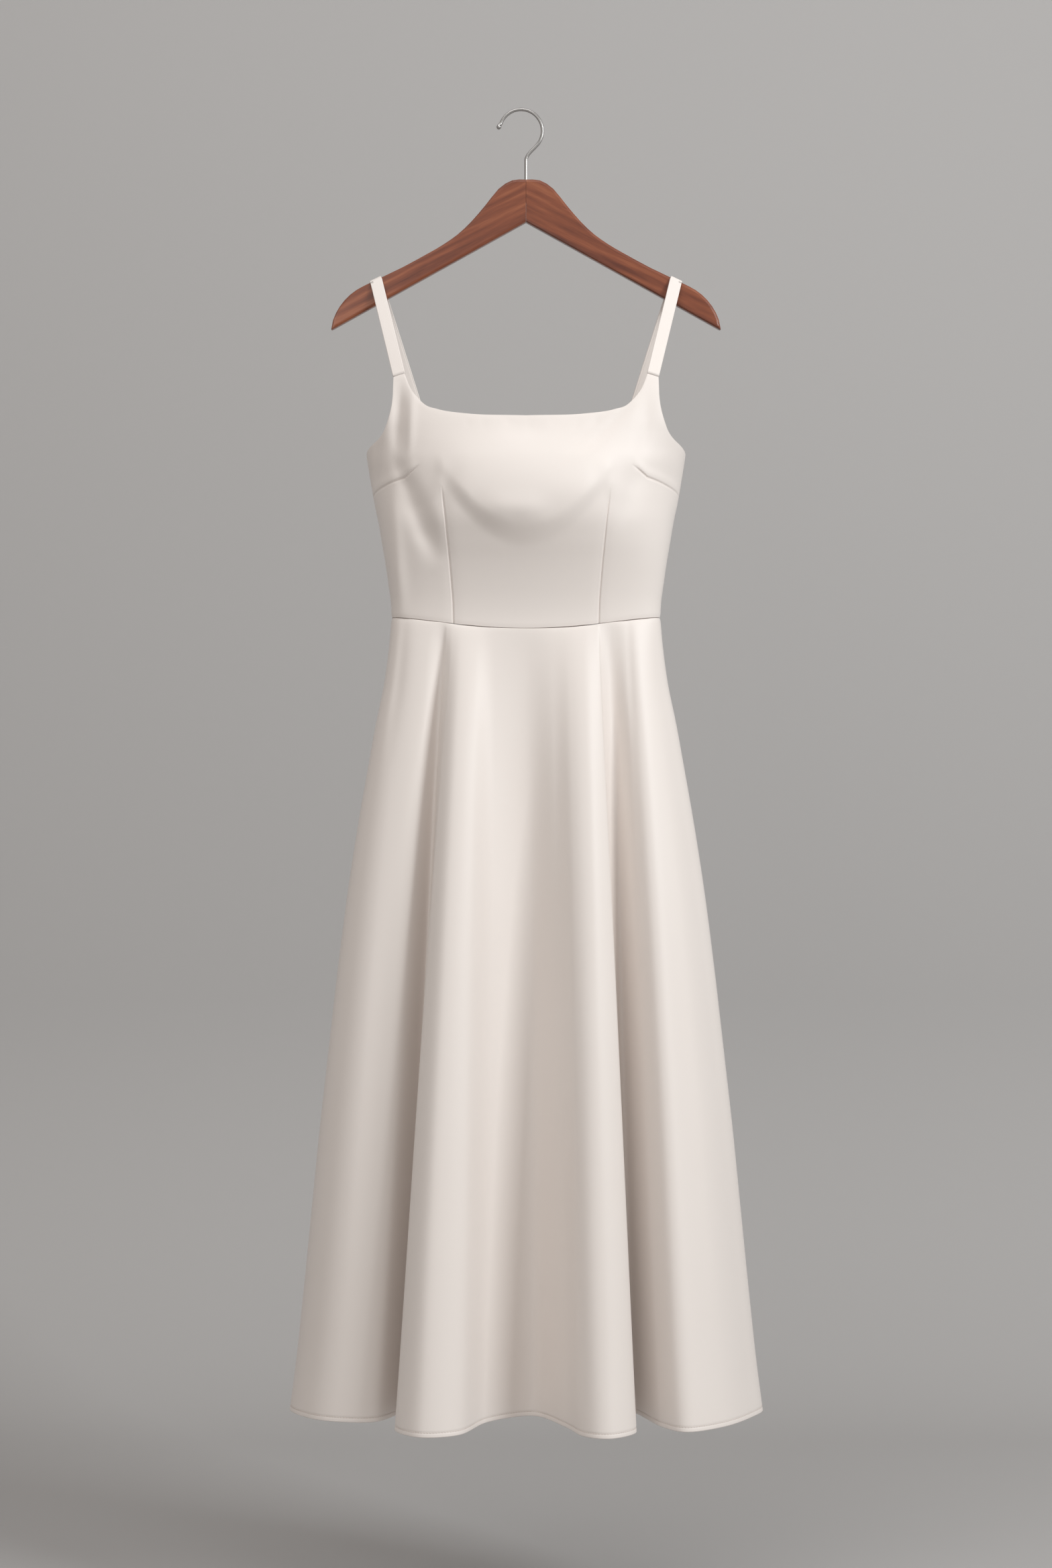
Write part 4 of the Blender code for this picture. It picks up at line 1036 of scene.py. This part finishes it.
def makeHemStitches(name, first, last, side):
    # short rounded threads in a row, each lying along the hem in the groove
    look = stitchLook
    drop = levels["waist"] - levels["hem"]
    down = 1.0 - skirtLook["stitchHeight"] / drop
    fine = np.linspace(first, last, 3000)
    line = skirtPoint(fine, np.full_like(fine, down))
    keepSide(line, side)
    run = np.concatenate([[0.0], np.cumsum(np.linalg.norm(np.diff(line, axis=0), axis=1))])
    starts = np.arange(look["margin"], run[-1] - look["length"] - look["margin"], look["pitch"])
    sides, rings = look["sides"], len(look["ringSizes"])
    points, faces = [], []
    angle = np.linspace(0.0, 2.0 * pi, sides, endpoint=False)
    for start in starts:
        at = np.interp(start + look["length"] * np.linspace(0.0, 1.0, rings), run, fine)
        spots = skirtPoint(at, np.full(rings, down))
        out = skirtNormals(at, np.full(rings, down))
        spots -= out * (skirtLook["stitchGroove"] * 0.6 - look["lift"])
        ahead = unit(spots[-1] - spots[0])
        for ring, scale in enumerate(look["ringSizes"]):
            upward = np.cross(out[ring], ahead)
            circle = np.cos(angle)[:, None] * out[ring] + np.sin(angle)[:, None] * upward
            points.append(spots[ring] + look["radius"] * scale * circle)
        base = len(points) * sides - rings * sides
        for ring in range(rings - 1):
            for k in range(sides):
                a, b = base + ring * sides + k, base + ring * sides + (k + 1) % sides
                faces.append((a, b, b + sides, a + sides))
        faces.append(tuple(base + k for k in range(sides - 1, -1, -1)))
        faces.append(tuple(base + (rings - 1) * sides + k for k in range(sides)))
    place = np.concatenate(points)
    made = meshObject(name, place, faces, threadSatin, place[:, ::2])
    outward(made)
    return made


# ---- run

bodiceFront = makeBodiceFront()
bodiceLeft = makeBodiceBack(-1, "bodiceBackLeftCloth", "bodice_back_left")
bodiceRight = makeBodiceBack(1, "bodiceBackRightCloth", "bodice_back_right")
print("bodice made")
skirtFront = makeSkirtPanel("skirtFrontCloth", "skirt_front", 0.0, rightSeamStation,
                            skirtLook["frontColumns"], 0)
skirtRight = makeSkirtPanel("skirtBackRightCloth", "skirt_back_right", rightSeamStation,
                            centreBackStation, skirtLook["backColumns"], 1)
skirtLeft = makeSkirtPanel("skirtBackLeftCloth", "skirt_back_left", centreBackStation,
                           float(foldCount), skirtLook["backColumns"], -1)
print("skirt made")
for made in (bodiceFront, bodiceLeft, bodiceRight):
    outward(made)
makeStrap(-1, "strapLeftBand", "strap_left")
makeStrap(1, "strapRightBand", "strap_right")
makeHook()
makeMitre()
makeHemStitches("hemStitchesFront", 0.0, rightSeamStation, 0)
makeHemStitches("hemStitchesRight", rightSeamStation, centreBackStation, 1)
makeHemStitches("hemStitchesLeft", centreBackStation, float(foldCount), -1)
print("straps, hook and stitches made")


def clothArea(made):
    return sum(face.area for face in made.data.polygons) / 2.0


for made, flat, area in ((bodiceFront, (0.42, 0.30), 0.096), (bodiceLeft, (0.205, 0.20), 0.0355),
                         (bodiceRight, (0.205, 0.20), 0.0355), (skirtFront, (1.03, 0.934), 0.65),
                         (skirtLeft, (0.56, 0.91), 0.307), (skirtRight, (0.56, 0.91), 0.307)):
    print(made.name, "area", round(clothArea(made), 4), "stated", area)

# materials of the solids that stay
grain = woodGroup()
arms = {"hanger_arm_left": (radians(-26.0), (0.11, 0.05, 0.02)),
        "hanger_arm_right": (radians(26.0), (0.47, 0.21, 0.13))}
for node, (lean, shift) in arms.items():
    part = bpy.data.objects[node]
    part.data.materials.clear()
    part.data.materials.append(woodMaterial("mahogany_" + node, grain, lean, shift))
part = bpy.data.objects["back_zip"]
part.data.materials.clear()
part.data.materials.append(threadSatin)
print("materials placed")

# ---- studio

studio = {
    "cameraDistance": 3.2,
    "cameraLevel": -0.764,
    "frameHeight": 1.781,
    "sensorHeight": 24.0,
    "floorLevel": -1.72,
    "floorFront": -6.0,
    "wallBehind": 1.5,
    "wallTop": 3.5,
    "reach": 4.5,
    "bend": 0.6,
    "grey": (0.45, 0.44, 0.435, 1.0),
    "air": (1.0, 0.925, 0.86, 1.0),
    "airStrength": 0.32,
}

# name, place, target, width and height, watts, colour
studioLights = (
    ("key", (2.75, -2.25, 0.75), (0.0, 0.0, -0.80), (1.2, 1.6), 91.0, (0.95, 0.985, 1.0)),
    ("fill", (-1.6, -3.6, 0.1), (0.0, 0.0, -0.9), (2.4, 2.6), 25.0, (1.0, 0.99, 0.97)),
    ("backdropGlow", (-0.3, -1.4, 2.4), (-0.2, 1.5, -1.9), (3.0, 1.6), 46.0, (1.0, 1.0, 1.0)),
)


def makeStudio():
    # floor, quarter-round bend and wall in one sheet
    reach, level, back, bend = (studio[key] for key in ("reach", "floorLevel", "wallBehind", "bend"))
    angle = np.linspace(0.0, pi / 2.0, 16)
    profileY = np.concatenate([[studio["floorFront"]], back - bend + bend * np.sin(angle), [back]])
    profileZ = np.concatenate([[level], level + bend - bend * np.cos(angle), [studio["wallTop"]]])
    side = np.linspace(-reach, reach, 2)
    x, y = np.meshgrid(side, profileY, indexing="ij")
    z = np.broadcast_to(profileZ, x.shape)
    points = np.stack([x, y, z], axis=-1) / mm
    mesh = bpy.data.meshes.new("backdrop")
    mesh.from_pydata((points.reshape(-1, 3) * mm).tolist(), [], gridFaces(2, len(profileY)).tolist())
    mesh.materials.append(plainMaterial("studioGrey", studio["grey"], 0.9))
    mesh.shade_smooth()
    backdrop = bpy.data.objects.new("backdrop", mesh)
    bpy.context.scene.collection.objects.link(backdrop)


def areaLight(name, place, target, size, power, colour):
    light = bpy.data.lights.new(name, "AREA")
    light.shape = "RECTANGLE"
    light.size, light.size_y = size
    light.energy = power
    light.color = colour
    made = bpy.data.objects.new(name, light)
    made.location = place
    made.rotation_euler = (Vector(target) - Vector(place)).to_track_quat("-Z", "Y").to_euler()
    bpy.context.scene.collection.objects.link(made)


makeStudio()
camera = bpy.data.objects.new("camera", bpy.data.cameras.new("camera"))
camera.data.sensor_fit = "VERTICAL"
camera.data.sensor_height = studio["sensorHeight"]
camera.data.lens = studio["sensorHeight"] * studio["cameraDistance"] / studio["frameHeight"]
camera.location = (0.0, -studio["cameraDistance"], studio["cameraLevel"])
camera.rotation_euler = (pi / 2.0, 0.0, 0.0)
bpy.context.scene.collection.objects.link(camera)
bpy.context.scene.camera = camera

for light in studioLights:
    areaLight(*light)
world = bpy.data.worlds.new("studioAir")
world.use_nodes = True
world.node_tree.nodes["Background"].inputs["Color"].default_value = studio["air"]
world.node_tree.nodes["Background"].inputs["Strength"].default_value = studio["airStrength"]
bpy.context.scene.world = world
bpy.context.scene.view_settings.view_transform = "Standard"
print("studio made")
